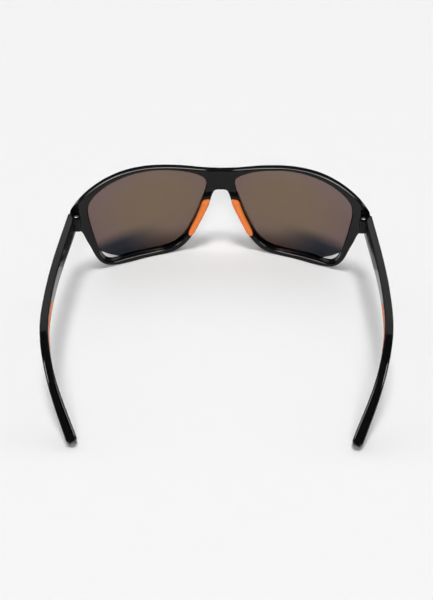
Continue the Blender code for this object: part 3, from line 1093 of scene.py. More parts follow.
@dataclass
class MouldedFront:
    """The one-piece front: both rims, the bridge, the end pieces and the hinge tongues."""

    outline: EyeOutline
    surface: FaceSurface
    hinge: Hinge
    outer_round: float = 0.75 * MM
    inner_round: float = 0.35 * MM
    setback: float = 0.6 * MM
    groove: float = 0.9 * MM
    groove_least: float = 0.15 * MM
    round_steps: int = 6
    roundness: float = 0.3
    outer_most: float = 0.45
    inner_most: float = 0.3
    lip_most: float = 0.8
    groove_loss: float = 1.6
    seam_bottom: float = 24.4 * MM
    seam_round: float = 2.2 * MM
    seam_reach: float = 20.0 * MM
    seam_ceiling: float = 60.0 * MM
    seam_inside: float = 10.0 * MM
    seam_outside: float = 14.0 * MM

    def section(self, place: Place, vent: float) -> list[Vector]:
        """One flat section of the rim, with rounded edges and the lens groove.

        Args:
            place: where round the eye.
            vent: how far the vent is open there.

        Returns:
            The section's points as (x, depth, z).
        """
        inner, outer, width, deep = self.inner_round, self.outer_round, place.width, place.depth
        inner_reach, outer_reach = inner / place.skew_inside, outer / place.skew_outside
        outer_reach = min(outer_reach, width * self.outer_most)
        inner_reach = min(inner_reach, width * self.inner_most)
        groove_back = self.outline.groove_back
        back = min(outer, (deep - groove_back) * self.lip_most + inner)
        groove = max(self.groove_least, self.groove * (1.0 - self.groove_loss * vent))
        turns = [math.pi / 2 * step / self.round_steps for step in range(self.round_steps + 1)]
        points = [(distance, 0.0) for distance in eased(inner_reach, width - outer_reach, 9)]
        points += [(width - outer_reach * (1 - math.sin(turn)), outer * (1 - math.cos(turn)))
                   for turn in turns]
        points += [(width, depth) for depth in eased(outer, deep - back, 7)[1:]]
        corner = [self.chamfered(turn) for turn in turns]
        points += [(width - outer_reach * down, deep - back * along) for along, down in corner]
        points += [(distance, deep) for distance in eased(width - outer_reach, inner_reach, 9)[1:]]
        lip = min(inner, (deep - groove_back) * self.lip_most)
        points += [(inner_reach * along, deep - lip * down) for along, down in corner]
        points += [(0.0, groove_back), (groove, groove_back), (groove, self.setback), (0.0, self.setback)]
        points += [(inner_reach * (1 - math.cos(turn)), inner * (1 - math.sin(turn))) for turn in turns[:-1]]
        return [place.at(distance, depth) for distance, depth in points]

    def chamfered(self, turn: float) -> tuple[float, float]:
        """Distances from a corner at a turn round it, between a flat chamfer and a round.

        Args:
            turn: the turn, up to a quarter.

        Returns:
            The distances along the first face and down the second.
        """
        share = turn / (math.pi / 2)
        return (self.roundness * (1 - math.sin(turn)) + (1 - self.roundness) * (1 - share),
                self.roundness * (1 - math.cos(turn)) + (1 - self.roundness) * share)

    def tongue(self) -> bpy.types.Object:
        """The tongue that turns in the temple's block, for the right side.

        Returns:
            The tongue.
        """
        axis = self.hinge.right
        radius, root = self.hinge.barrel, self.hinge.seam_y + self.hinge.tongue_root
        outline = arc(axis, radius, -180, 0, 24) + [(axis.x + radius, root), (axis.x - radius, root)]
        return prism("tongue", outline, *self.hinge.tongue_span())

    def cutter(self) -> bpy.types.Object:
        """What is behind the end piece's rear face, with a rounded foot.

        Returns:
            The cutter.
        """
        seam, foot, curve = self.hinge.seam_y, self.seam_bottom, self.seam_round
        back, above = seam - self.seam_reach, self.seam_ceiling
        profile = [(seam - curve * (1 - math.cos(turn)), foot + curve * (1 - math.sin(turn)))
                   for turn in (math.pi / 2 * step / 10 for step in range(11))]
        profile += [(back, foot), (back, above), (seam, above)]
        ends = self.hinge.right.x - self.seam_inside, self.hinge.right.x + self.seam_outside
        return linked("seam_cut", skin("seam_cut", [[Vector((x, y, z)) for y, z in profile] for x in ends]))

    def build(
        self, wrapping: GeometryGraph, finish: bpy.types.Material, vent: Callable[[float], float]
    ) -> bpy.types.Object:
        """Make the front and put it on its body.

        Args:
            wrapping: the tree that bends flat pieces onto the surface.
            finish: the front's material.
            vent: how far the vent is open at a position.

        Returns:
            The finished piece.
        """
        rings = [self.section(place, vent(place.position)) for place in self.outline.places]
        flat = skin("front_half", rings, closed=True)
        half = wrapping.grow("front_half", flat, self.surface.inputs(finish))
        low, high = self.hinge.tongue_span()
        axis, hole = self.hinge.right, self.hinge.screw_radius + self.hinge.screw_play
        bore = turned("tongue_bore", [(ON_AXIS, low - MM), (hole, low - MM), (hole, high + MM),
                                      (ON_AXIS, high + MM)], axis)
        half = combined(half, [("DIFFERENCE", self.cutter()), ("UNION", self.tongue()), ("DIFFERENCE", bore)])
        kept_side(half.data, Vector((-1, 0, 0)), fill=False)
        kept_side(half.data, Vector((0, 0, -1)), fill=True)
        mirror = half.modifiers.new("halves", "MIRROR")
        mirror.use_clip = True
        mirror.merge_threshold = 0.00002
        piece = evaluated(half, "moulded_front")
        tidy(piece.data)
        return dressed(piece, finish, Body.FRONT.value, "frame_plastic", "front_frame")


@dataclass
class Lens:
    """A coated lens, set back in the rim's groove, with a crescent vent at its lower outer edge."""

    outline: EyeOutline
    surface: FaceSurface
    thickness: float = 1.6 * MM
    setback: float = 0.9 * MM
    crown: float = 1.3 * MM
    lean: float = 0.17
    in_groove: float = 0.6 * MM
    vent_width: float = 2.75 * MM
    vent_from: float = 27.0
    vent_to: float = 30.7
    vent_fullness: float = 0.7
    edge_round: float = 0.18 * MM
    half_size: tuple[float, float] = (28.0 * MM, 22.0 * MM)
    mean_reach: float = 25.0 * MM
    pole: float = 0.004
    crowding: float = 0.9
    rings: int = 26

    def vent(self, position: float) -> float:
        """How far the vent is open at a position, from 0 to 1."""
        share = (position - self.vent_from) / (self.vent_to - self.vent_from)
        return math.sin(math.pi * share) ** self.vent_fullness if 0 < share < 1 else 0.0

    def edge(self) -> list[Vector]:
        """The lens's outline in the drawing plane.

        Returns:
            Its points, in order.
        """
        points = []
        for place in self.outline.places[::2]:
            opening = self.vent(place.position) * (self.vent_width + self.in_groove)
            points.append(place.opening + place.outward * (self.in_groove - opening))
        return points

    def build(self, side: Side, wrapping: GeometryGraph, finish: bpy.types.Material) -> bpy.types.Object:
        """Make one lens and put it on the front.

        Args:
            side: the wearer's side.
            wrapping: the tree that bends flat pieces onto the surface.
            finish: the lens's material.

        Returns:
            The finished piece.
        """
        edge = self.edge()
        middle = sum(edge, Vector((0, 0))) / len(edge)
        whole = 1 - self.edge_round / self.mean_reach
        steps = range(1, self.rings + 1)
        reaches = [self.pole] + [(step / self.rings) ** self.crowding * whole for step in steps]
        front, back = self.setback, self.setback + self.thickness
        rows = [(reach, front) for reach in reaches] + [(1.0, front + self.edge_round)]
        rows += [(1.0, back - self.edge_round)] + [(reach, back) for reach in reversed(reaches)]
        rings = []
        for reach, depth in rows:
            flat = [middle.lerp(point, reach) for point in edge]
            crowned = depth - self.crown * (1.0 - reach ** 2)
            rings.append([Vector((side.value * point.x, crowned, point.y)) for point in flat])
        mesh = skin(f"lens_{side.word}_flat", rings)
        share = mesh.attributes.new(EDGE_SHARE, "FLOAT", "POINT")
        relief = mesh.attributes.new(RELIEF, "FLOAT", "POINT")
        for index, vertex in enumerate(mesh.vertices):
            facing = -1.0 if vertex.co.y > (front + back) / 2 - self.crown * 0.5 else 1.0
            flat = Vector((side.value * vertex.co.x, vertex.co.z)) - middle
            reach = math.hypot(flat.x / self.half_size[0], flat.y / self.half_size[1])
            share.data[index].value = min(1.0, reach)
            relief.data[index].value = facing * self.lean * vertex.co.z
        piece = wrapping.grow(f"mirror_lens_{side.word}", mesh, self.surface.inputs(finish))
        return dressed(piece, finish, Body.FRONT.value, "lens_brown", f"lens_{side.word}")


@dataclass
class NoseCushion:
    """A soft strip behind the rim on one side of the nose, crowned and rounded at its ends."""

    outline: EyeOutline
    surface: FaceSurface
    start: float = 35.9
    end: float = 39.6
    thickness: float = 2.6 * MM
    margin: float = 0.12 * MM
    seat: float = 0.05 * MM
    end_least: float = 0.45
    end_power: int = 12
    end_rise: float = 0.25
    shoulder: float = 0.30
    foot: float = 0.98
    steps: int = 44
    round_steps: int = 18

    def build(self, side: Side, wrapping: GeometryGraph, finish: bpy.types.Material) -> bpy.types.Object:
        """Make one cushion and put it on the front.

        Args:
            side: the wearer's side.
            wrapping: the tree that bends flat pieces onto the surface.
            finish: the cushion's material.

        Returns:
            The finished piece.
        """
        rings = []
        for step in range(self.steps + 1):
            along = -math.cos(math.pi * step / self.steps)
            place = self.outline.near(self.start + (self.end - self.start) * (along + 1) / 2)
            swell = max(self.end_least, (1 - abs(along) ** self.end_power) ** 0.5)
            middle, half = place.width / 2, (place.width / 2 - self.margin) * swell
            base = place.depth + self.seat
            tall = self.thickness * (self.end_rise + (1 - self.end_rise) * swell)
            ring = []
            for turn in (math.pi * index / self.round_steps for index in range(self.round_steps + 1)):
                rise = self.shoulder + (1 - self.shoulder) * math.sin(turn) ** 0.8
                across = math.copysign(abs(math.cos(turn)) ** 0.85, math.cos(turn))
                ring.append(place.at(middle + half * across, base + tall * rise))
            ring += [place.at(middle + half * foot, base) for foot in (-self.foot, self.foot)]
            rings.append(mirrored(ring, side))
        mesh = skin(f"nose_{side.word}_flat", rings)
        piece = wrapping.grow(f"nose_cushion_{side.word}", mesh, self.surface.inputs(finish))
        return dressed(piece, finish, Body.FRONT.value, "orange_rubber", f"nose_pad_{side.word}")


@dataclass
class TempleArm:
    """A one-piece temple: a flat bar that bows out, then bends down and in behind the ear."""

    hinge: Hinge
    end_y: float = -75.5 * MM
    end_trim: float = 0.75 * MM
    thickness: float = 3.6 * MM
    heights: tuple[float, float, float] = (8.8 * MM, 6.0 * MM, 5.6 * MM)
    tip_flare: float = 0.22
    long_round: float = 0.75 * MM
    end_round: float = 1.2 * MM
    front_round: float = 0.3 * MM
    flare_from: float = 0.8
    bend_at: float = 0.55
    end_least: float = 0.70
    end_squareness: float = 0.60
    end_extra_round: float = 0.5 * MM
    end_steps: int = 9
    strip_edge: float = 0.12 * MM
    strip_steps: int = 40
    steps: int = 400
    sections: int = 110
    corner_steps: int = 5
    grip_start: float = 0.5
    grip_end: float = 0.74
    grip_height: float = 3.6 * MM
    grip_depth: float = 1.0 * MM
    grip_proud: float = 0.02 * MM
    outside_mm: Sequence[tuple[float, float]] = (
        (0.0, 70.5), (0.3, 72.7), (0.54, 73.1), (0.72, 71.0), (0.88, 64.9), (1.0, 57.6))
    top_mm: Sequence[tuple[float, float]] = (
        (0.0, 34.4), (0.3, 32.9), (0.56, 30.6), (0.69, 28.6), (0.8, 22.4), (0.9, 13.4), (1.0, 3.2))
    outside: Track = field(init=False)
    top: Track = field(init=False)
    ways: list[tuple[Vector, Vector]] = field(init=False)

    def __post_init__(self) -> None:
        """Fit the temple's curves and carry its section along them without twist."""
        self.outside, self.top = Track(self.outside_mm), Track(self.top_mm)
        inward, self.ways = Vector((-1, 0, 0)), []
        for step in range(self.steps + 1):
            share = step / self.steps
            along = (self.edge(share + 0.004) - self.edge(share - 0.004)).normalized()
            inward = (inward - along * inward.dot(along)).normalized()
            self.ways.append((inward.copy(), along))

    @property
    def start_y(self) -> float:
        """The temple's front face."""
        return self.hinge.seam_y - self.hinge.gap

    @property
    def length(self) -> float:
        """Length along Y, before the end is rounded."""
        return self.start_y - self.end_y + self.end_trim

    def edge(self, share: float) -> Vector:
        """The upper outside edge at a share of the length."""
        y = self.start_y - share * self.length
        return Vector((self.outside.at(share) * MM, y, self.top.at(share) * MM))

    def width(self, share: float) -> float:
        """Thickness at a share of the length; it widens toward the tip."""
        flared = smooth_step((share - self.flare_from) / (1 - self.flare_from))
        return self.thickness * (1 + self.tip_flare * flared)

    def height(self, share: float) -> float:
        """Height of the section at a share of the length.

        Args:
            share: where along the temple.

        Returns:
            The height.
        """
        front, middle, end = self.heights
        if share < self.bend_at:
            return front + (middle - front) * smooth_step(share / self.bend_at)
        return middle + (end - middle) * smooth_step((share - self.bend_at) / (1 - self.bend_at))

    def frame(self, share: float) -> tuple[Vector, Vector, Vector, Vector]:
        """Middle of the section at a share of the length, with its inward, up and along ways.

        Args:
            share: where along the temple.

        Returns:
            The middle and the three ways.
        """
        position = min(1.0, max(0.0, share)) * self.steps
        index = min(int(position), self.steps - 1)
        local = position - index
        inward, along = (one.lerp(other, local).normalized()
                         for one, other in zip(self.ways[index], self.ways[index + 1]))
        up = inward.cross(along).normalized()
        middle = self.edge(share) + inward * (self.width(share) / 2) - up * (self.height(share) / 2)
        return middle, inward, up, along

    def section(self, half_width: float, half_height: float, rounding: float) -> list[tuple[float, float]]:
        """Rounded rectangle as (inward, up) pairs, with points gathered at its corners.

        Args:
            half_width: half its thickness.
            half_height: half its height.
            rounding: radius of its corners.

        Returns:
            The pairs, in order.
        """
        points = []
        for quarter in range(4):
            x_sign = 1 if quarter in (0, 3) else -1
            z_sign = 1 if quarter < 2 else -1
            corner = (x_sign * (half_width - rounding), z_sign * (half_height - rounding))
            for step in range(self.corner_steps + 1):
                turn = math.pi / 2 * (quarter + step / self.corner_steps)
                points.append((corner[0] + rounding * math.cos(turn), corner[1] + rounding * math.sin(turn)))
            following = 1 if (quarter + 1) % 4 in (0, 3) else -1, 1 if (quarter + 1) % 4 < 2 else -1
            last = points[-1]
            turn = math.pi / 2 * (quarter + 1)
            target = (following[0] * (half_width - rounding) + rounding * math.cos(turn),
                      following[1] * (half_height - rounding) + rounding * math.sin(turn))
            points += [(last[0] + (target[0] - last[0]) * share, last[1] + (target[1] - last[1]) * share)
                       for share in (0.04, 0.25, 0.5, 0.75, 0.96)]
        return points

    def bar(self) -> Rings:
        """Sections of the bar from its front face to its rounded end.

        Returns:
            The sections.
        """
        end_share = self.end_round / self.length
        shares = [index / self.sections for index in range(1, self.sections)]
        shares = [share for share in shares if share < 1 - end_share]
        shares += [1 - end_share * (1 - math.sin(math.pi / 2 * step / self.end_steps))
                   for step in range(1, self.end_steps + 1)]
        rings = []
        turns = [math.pi / 2 * step / 4 for step in range(5)]
        for turn in turns:
            inset = self.front_round * (1 - math.sin(turn))
            y = self.start_y - self.front_round * (1 - math.cos(turn))
            middle, inward, up, along = self.frame(0.0)
            section = self.section(self.thickness / 2 - inset, self.height(0.0) / 2 - inset,
                                   self.long_round - inset * 0.5)
            ring = [middle + inward * across + up * rise for across, rise in section]
            rings.append([point + along * ((y - point.y) / along.y) for point in ring])
        for share in shares:
            middle, inward, up, _ = self.frame(share)
            into_end = min(1.0, max(0.0, (share - (1 - end_share)) / end_share))
            shrink = max(self.end_least, math.sqrt(1 - into_end ** 2))
            half_width = self.width(share) / 2 * shrink
            squared = self.end_squareness + (1 - self.end_squareness) * shrink
            half_height = self.height(share) / 2 * squared
            rounding = min(self.long_round + self.end_extra_round * into_end, half_width * 0.8)
            rings.append([middle + inward * across + up * rise
                          for across, rise in self.section(half_width, half_height, rounding)])
        return rings

    def strip(self, growth: float, deepest: float, proudest: float, crown: float) -> Rings:
        """Sections of the grip or of its pocket, on the temple's inner face.

        Args:
            growth: how much larger than the grip it is all round.
            deepest: how far it goes into the face.
            proudest: how far it stands out of the face.
            crown: how much more it stands out along its middle.

        Returns:
            The sections.
        """
        rings = []
        ends = growth / self.length
        for step in range(self.strip_steps + 1):
            along = -math.cos(math.pi * step / self.strip_steps)
            share = self.grip_start - ends + (self.grip_end - self.grip_start + 2 * ends) * (along + 1) / 2
            middle, inward, up, _ = self.frame(share)
            half = self.grip_height / 2 * math.sqrt(max(0.02, 1 - abs(along) ** 8)) + growth
            face = self.width(share) / 2
            points = [(face - deepest, -half), (face + proudest - self.strip_edge, -half)]
            for spot in (-0.93, -0.8, -0.5, 0.0, 0.5, 0.8, 0.93):
                points.append((face + proudest + crown * (1 - spot ** 2), half * spot))
            points += [(face + proudest - self.strip_edge, half), (face - deepest, half)]
            rings.append([middle + inward * across + up * rise for across, rise in points])
        return rings

    def block(self) -> bpy.types.Object:
        """The hinge block on the temple's inner face, for the right side.

        Returns:
            The block.
        """
        axis, radius = self.hinge.right, self.hinge.barrel
        inside = self.edge(0.0).x - self.thickness / 3
        rear = axis.y - radius - self.hinge.heel
        outline = arc(axis, radius, 90, 180)
        outline += [(axis.x - radius, rear), (inside, rear), (inside, axis.y + radius)]
        return softened(prism("block", outline, *self.hinge.block_span()), 0.22 * MM)

    def slot(self) -> bpy.types.Object:
        """The room that the tongue turns in.

        Returns:
            The cutter.
        """
        axis, room, beyond = self.hinge.right, self.hinge.barrel + self.hinge.gap, 8 * MM
        outline = arc(axis, room, 0, -90)
        outline += [(axis.x - beyond, axis.y - room), (axis.x - beyond, axis.y + beyond),
                    (axis.x + room, axis.y + beyond)]
        return prism("slot", outline, *self.hinge.tongue_span(self.hinge.gap))

    def holes(self, screw: "PivotScrew", insert: "ThreadedInsert") -> bpy.types.Object:
        """The stepped hole for the screw and its insert.

        Args:
            screw: the screw it takes.
            insert: the insert it takes.

        Returns:
            The cutter.
        """
        axis = self.hinge.right
        low, high = self.hinge.block_span()
        play, floor = self.hinge.screw_play, high - screw.head_height - self.hinge.screw_play
        sleeve, shank, head = (radius + play for radius in (insert.radius, screw.radius, screw.head_radius))
        profile = [(ON_AXIS, low - MM), (sleeve, low - MM), (sleeve, axis.z), (shank, axis.z),
                   (shank, floor), (head, floor), (head, high + MM), (ON_AXIS, high + MM)]
        return turned("stepped_hole", profile, axis)

    def build(
        self, screw: "PivotScrew", insert: "ThreadedInsert", finish: bpy.types.Material
    ) -> bpy.types.Object:
        """Make the temple and put it on its body.

        Args:
            screw: the screw it holds.
            insert: the insert it holds.
            finish: the temple's material.

        Returns:
            The finished piece.
        """
        side = self.hinge.side
        arm = linked(f"temple_arm_{side.word}", skin("bar", self.bar()))
        gap = self.hinge.gap / 3
        pocket = linked("pocket", skin("pocket", self.strip(gap, self.grip_depth, 2 * MM, 0.0)))
        arm = combined(arm, [("UNION", self.block()), ("DIFFERENCE", self.slot()),
                             ("DIFFERENCE", self.holes(screw, insert)), ("DIFFERENCE", pocket)])
        kept_side(arm.data, Vector((0, 0, -1)), fill=True)
        arm.data.transform(Matrix.Diagonal((side.value, 1, 1, 1)))
        tidy(arm.data)
        return dressed(arm, finish, side.body, "frame_plastic", f"temple_{side.word}")


@dataclass
class EarGrip:
    """The soft strip set into the temple's inner face, with low ribs across it."""

    arm: TempleArm
    rib_pitch: float = 1.5 * MM
    rib_width: float = 0.55 * MM
    rib_rise: float = 0.05 * MM
    rib_share: float = 0.78
    rib_sink: float = 0.02 * MM
    crown: float = 0.05 * MM
    path_margin: float = 0.04
    path_steps: int = 60

    @staticmethod
    def ribbing() -> GeometryGraph:
        """The node tree that lays ribs along a path and joins them to the strip.

        Returns:
            The tree; the path is the wire in the given mesh, with its face and run ways stored on it.
        """
        sizes = {"Pitch": "NodeSocketFloat", "Rib": "NodeSocketVector"}
        graph = GeometryGraph("grip_ribs", sizes)
        whole = graph.start.outputs["Geometry"]
        wire = graph.value("GeometryNodeInputMeshEdgeNeighbors", None, None).math("COMPARE", 0.0, 0.5)
        inputs = {"Geometry": whole, "Selection": wire}
        parts = graph.node("GeometryNodeSeparateGeometry", {"domain": "EDGE"}, inputs)
        path = graph.out("GeometryNodeMeshToCurve", None, {0: parts.outputs["Selection"]})
        spaced = graph.out("GeometryNodeResampleCurve", {"mode": "LENGTH"},
                           {"Curve": path, "Length": graph.start.outputs["Pitch"]})
        ways = [graph.out("GeometryNodeInputNamedAttribute", {"data_type": "FLOAT_VECTOR"}, {"Name": name})
                for name in ("face_way", "run_way")]
        turn = graph.out("FunctionNodeAxesToRotation", {"primary_axis": "Z", "secondary_axis": "X"},
                         {0: ways[0], 1: ways[1]})
        inputs = {"Size": graph.start.outputs["Rib"], "Vertices X": 3, "Vertices Y": 9, "Vertices Z": 2}
        rib = graph.out("GeometryNodeMeshCube", None, inputs)
        inputs = {"Points": spaced, "Instance": rib, "Rotation": turn}
        ribs = graph.out("GeometryNodeInstanceOnPoints", None, inputs)
        smooth = graph.out("GeometryNodeSetShadeSmooth", None, {0: parts.outputs["Inverted"]})
        graph.close(graph.out("GeometryNodeJoinGeometry", None, {0: [smooth, ribs]}))
        return graph

    def build(self, ribbing: GeometryGraph, finish: bpy.types.Material) -> bpy.types.Object:
        """Make the grip and put it on its temple.

        Args:
            ribbing: the tree that adds the ribs.
            finish: the grip's material.

        Returns:
            The finished piece.
        """
        arm, side = self.arm, self.arm.hinge.side
        mesh = skin("strip", arm.strip(0.0, arm.grip_depth - arm.hinge.gap, arm.grip_proud, self.crown))
        work = bmesh.new()
        work.from_mesh(mesh)
        face_layer = work.verts.layers.float_vector.new("face_way")
        run_layer = work.verts.layers.float_vector.new("run_way")
        previous, margin = None, self.path_margin
        for step in range(self.path_steps + 1):
            along_grip = margin + (1 - 2 * margin) * step / self.path_steps
            share = arm.grip_start + (arm.grip_end - arm.grip_start) * along_grip
            middle, inward, _, along = arm.frame(share)
            top = arm.width(share) / 2 + arm.grip_proud + self.crown - self.rib_sink
            vertex = work.verts.new(middle + inward * top)
            vertex[face_layer], vertex[run_layer] = inward, along
            if previous is not None:
                work.edges.new((previous, vertex))
            previous = vertex
        work.to_mesh(mesh)
        work.free()
        rib = (self.rib_width, arm.grip_height * self.rib_share, 2 * self.rib_rise)
        piece = ribbing.grow(f"ear_grip_{side.word}", mesh,
                             {"Pitch": self.rib_pitch, "Rib": rib, "Material": finish})
        piece.data.transform(Matrix.Diagonal((side.value, 1, 1, 1)))
        tidy(piece.data)
        return dressed(piece, finish, side.body, "orange_rubber", f"temple_grip_{side.word}")


@dataclass
class PivotScrew:
    """A slotted screw whose head sits in the block's top."""

    hinge: Hinge
    radius: float = 0.6 * MM
    head_radius: float = 1.0 * MM
    head_height: float = 0.8 * MM
    head_chamfer: float = 0.12 * MM
    slot_width: float = 0.4 * MM
    slot_depth: float = 0.4 * MM
    thread_pitch: float = 0.3 * MM
    thread_depth: float = 0.07 * MM
    threaded: float = 1.9 * MM
    bottom_gap: float = 0.3 * MM
    slot_turn: float = math.radians(25.0)

    @staticmethod
    def threading() -> GeometryGraph:
        """The node tree that winds a thread on the plain screw it is given.

        Returns:
            The tree; its inputs are the thread's sizes.
        """
        labels = ("Radius", "Ridge", "Turns", "Length")
        graph = GeometryGraph("screw_thread", {label: "NodeSocketFloat" for label in labels})
        radius, ridge, turns, length = (graph.start.outputs[label] for label in labels)
        inputs = {"Resolution": 24, "Rotations": turns, "Start Radius": radius, "End Radius": radius,
                  "Height": length}
        helix = graph.out("GeometryNodeCurveSpiral", None, inputs)
        profile = graph.out("GeometryNodeCurvePrimitiveCircle", None, {"Resolution": 4, "Radius": ridge})
        inputs = {"Curve": helix, "Profile Curve": profile, "Fill Caps": True}
        thread = graph.out("GeometryNodeCurveToMesh", None, inputs)
        both = [graph.start.outputs["Geometry"], thread]
        graph.close(graph.out("GeometryNodeJoinGeometry", None, {0: both}))
        return graph

    def build(self, threading: GeometryGraph, finish: bpy.types.Material) -> bpy.types.Object:
        """Make the screw and put it on its temple.

        Args:
            threading: the tree that adds the thread.
            finish: the screw's material.

        Returns:
            The finished piece.
        """
        side, axis = self.hinge.side, self.hinge.axis
        low, high = self.hinge.block_span()
        bottom, under_head = low + self.bottom_gap - axis.z, high - self.head_height - axis.z
        top, chamfer = high - axis.z, self.head_chamfer
        core, neck = self.radius - self.thread_depth, bottom + self.threaded
        profile = [(ON_AXIS, bottom), (core - chamfer, bottom), (core, bottom + chamfer), (core, neck),
                   (self.radius, neck + chamfer), (self.radius, under_head), (self.head_radius, under_head),
                   (self.head_radius, top - chamfer), (self.head_radius - chamfer, top), (ON_AXIS, top)]
        plain = turned("screw_body", profile, Vector((0, 0, 0)))
        half, reach = self.slot_width / 2, 2 * self.head_radius
        outline = [(-reach, -half), (reach, -half), (reach, half), (-reach, half)]
        slot = prism("screw_slot", outline, top - self.slot_depth, top + MM)
        plain = combined(plain, [("DIFFERENCE", slot)])
        plain.data.transform(Matrix.Rotation(self.slot_turn * side.value, 4, "Z"))
        plain.data.transform(Matrix.Translation((0, 0, -bottom - chamfer)))
        mesh = plain.data.copy()
        bpy.data.objects.remove(plain)
        wound = self.threaded - 2 * chamfer
        values = {"Radius": core, "Ridge": self.thread_depth, "Turns": wound / self.thread_pitch,
                  "Length": wound, "Material": finish}
        piece = threading.grow(f"pivot_screw_{side.word}", mesh, values)
        piece.data.transform(Matrix.Translation((axis.x, axis.y, axis.z + bottom + chamfer)))
        tidy(piece.data)
        return dressed(piece, finish, side.body, "screw_steel", f"hinge_screw_{side.word}")


@dataclass
class ThreadedInsert:
    """The knurled brass sleeve in the block's bottom that the screw's end turns into."""

    hinge: Hinge
    wall: float = 0.35 * MM
    sink: float = 0.1 * MM
    ridges: int = 30
    ridge_size: float = 0.07 * MM
    bevel: float = 0.08 * MM

    @property
    def radius(self) -> float:
        """Outer radius of the sleeve."""
        return self.hinge.screw_radius + self.hinge.screw_play + self.wall

    @staticmethod
    def knurling() -> GeometryGraph:
        """The node tree that sets ridges round the sleeve it is given.

        Returns:
            The tree; its inputs are the ridges' number, ring radius and size.
        """
        sizes = {"Ridges": "NodeSocketInt", "Ring": "NodeSocketFloat", "Ridge": "NodeSocketVector"}
        graph = GeometryGraph("sleeve_knurl", sizes)
        start = graph.start.outputs
        inputs = {"Vertices": start["Ridges"], "Radius": start["Ring"]}
        ring = graph.out("GeometryNodeMeshCircle", None, inputs)
        index = graph.value("GeometryNodeInputIndex", None, None)
        angle = index / graph.given("Ridges") * (2 * math.pi)
        turn = graph.out("ShaderNodeCombineXYZ", None, {2: angle + math.pi / 4})
        ridge = graph.out("GeometryNodeMeshCube", None, {"Size": start["Ridge"]})
        inputs = {"Points": ring, "Instance": ridge, "Rotation": turn}
        ridges = graph.out("GeometryNodeInstanceOnPoints", None, inputs)
        graph.close(graph.out("GeometryNodeJoinGeometry", None, {0: [start["Geometry"], ridges]}))
        return graph

    def build(self, knurling: GeometryGraph, finish: bpy.types.Material) -> bpy.types.Object:
        """Make the insert and put it on its temple.

        Args:
            knurling: the tree that adds the ridges.
            finish: the insert's material.

        Returns:
            The finished piece.
        """
        side, axis = self.hinge.side, self.hinge.axis
        low = self.hinge.block_span()[0] + self.sink
        high = self.hinge.tongue_span(self.hinge.gap)[0] - self.sink
        middle, half, bevel = (low + high) / 2, (high - low) / 2, self.bevel
        bore = self.hinge.screw_radius + self.hinge.screw_play
        corners = [(bore + bevel, -half), (self.radius - bevel, -half), (self.radius, bevel - half),
                   (self.radius, half - bevel), (self.radius - bevel, half), (bore + bevel, half),
                   (bore, half - bevel), (bore, bevel - half)]
        rings = [[Vector((radius * x, radius * y, z)) for radius, z in corners] for x, y in circle()]
        sleeve = skin("sleeve", rings, closed=True)
        ridge = (self.ridge_size, self.ridge_size, 2 * half - 3 * bevel)
        values = {"Ridges": self.ridges, "Ring": self.radius, "Ridge": ridge, "Material": finish}
        piece = knurling.grow(f"threaded_insert_{side.word}", sleeve, values)
        piece.data.transform(Matrix.Translation((axis.x, axis.y, middle)))
        tidy(piece.data)
        return dressed(piece, finish, side.body, "insert_brass", f"hinge_insert_{side.word}")


def dressed(
    piece: bpy.types.Object, finish: bpy.types.Material, body: str, slot: str, node: str
) -> bpy.types.Object:
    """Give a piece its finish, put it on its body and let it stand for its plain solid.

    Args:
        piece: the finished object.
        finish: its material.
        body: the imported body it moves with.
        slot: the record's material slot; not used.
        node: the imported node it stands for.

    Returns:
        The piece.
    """
    piece.data.materials.clear()
    piece.data.materials.append(finish)
    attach(piece, body)
    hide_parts(node)
    LOG.info("%s: %d faces on %s", piece.name, len(piece.data.polygons), body)
    return piece


# ---------------------------------------------------------------- studio


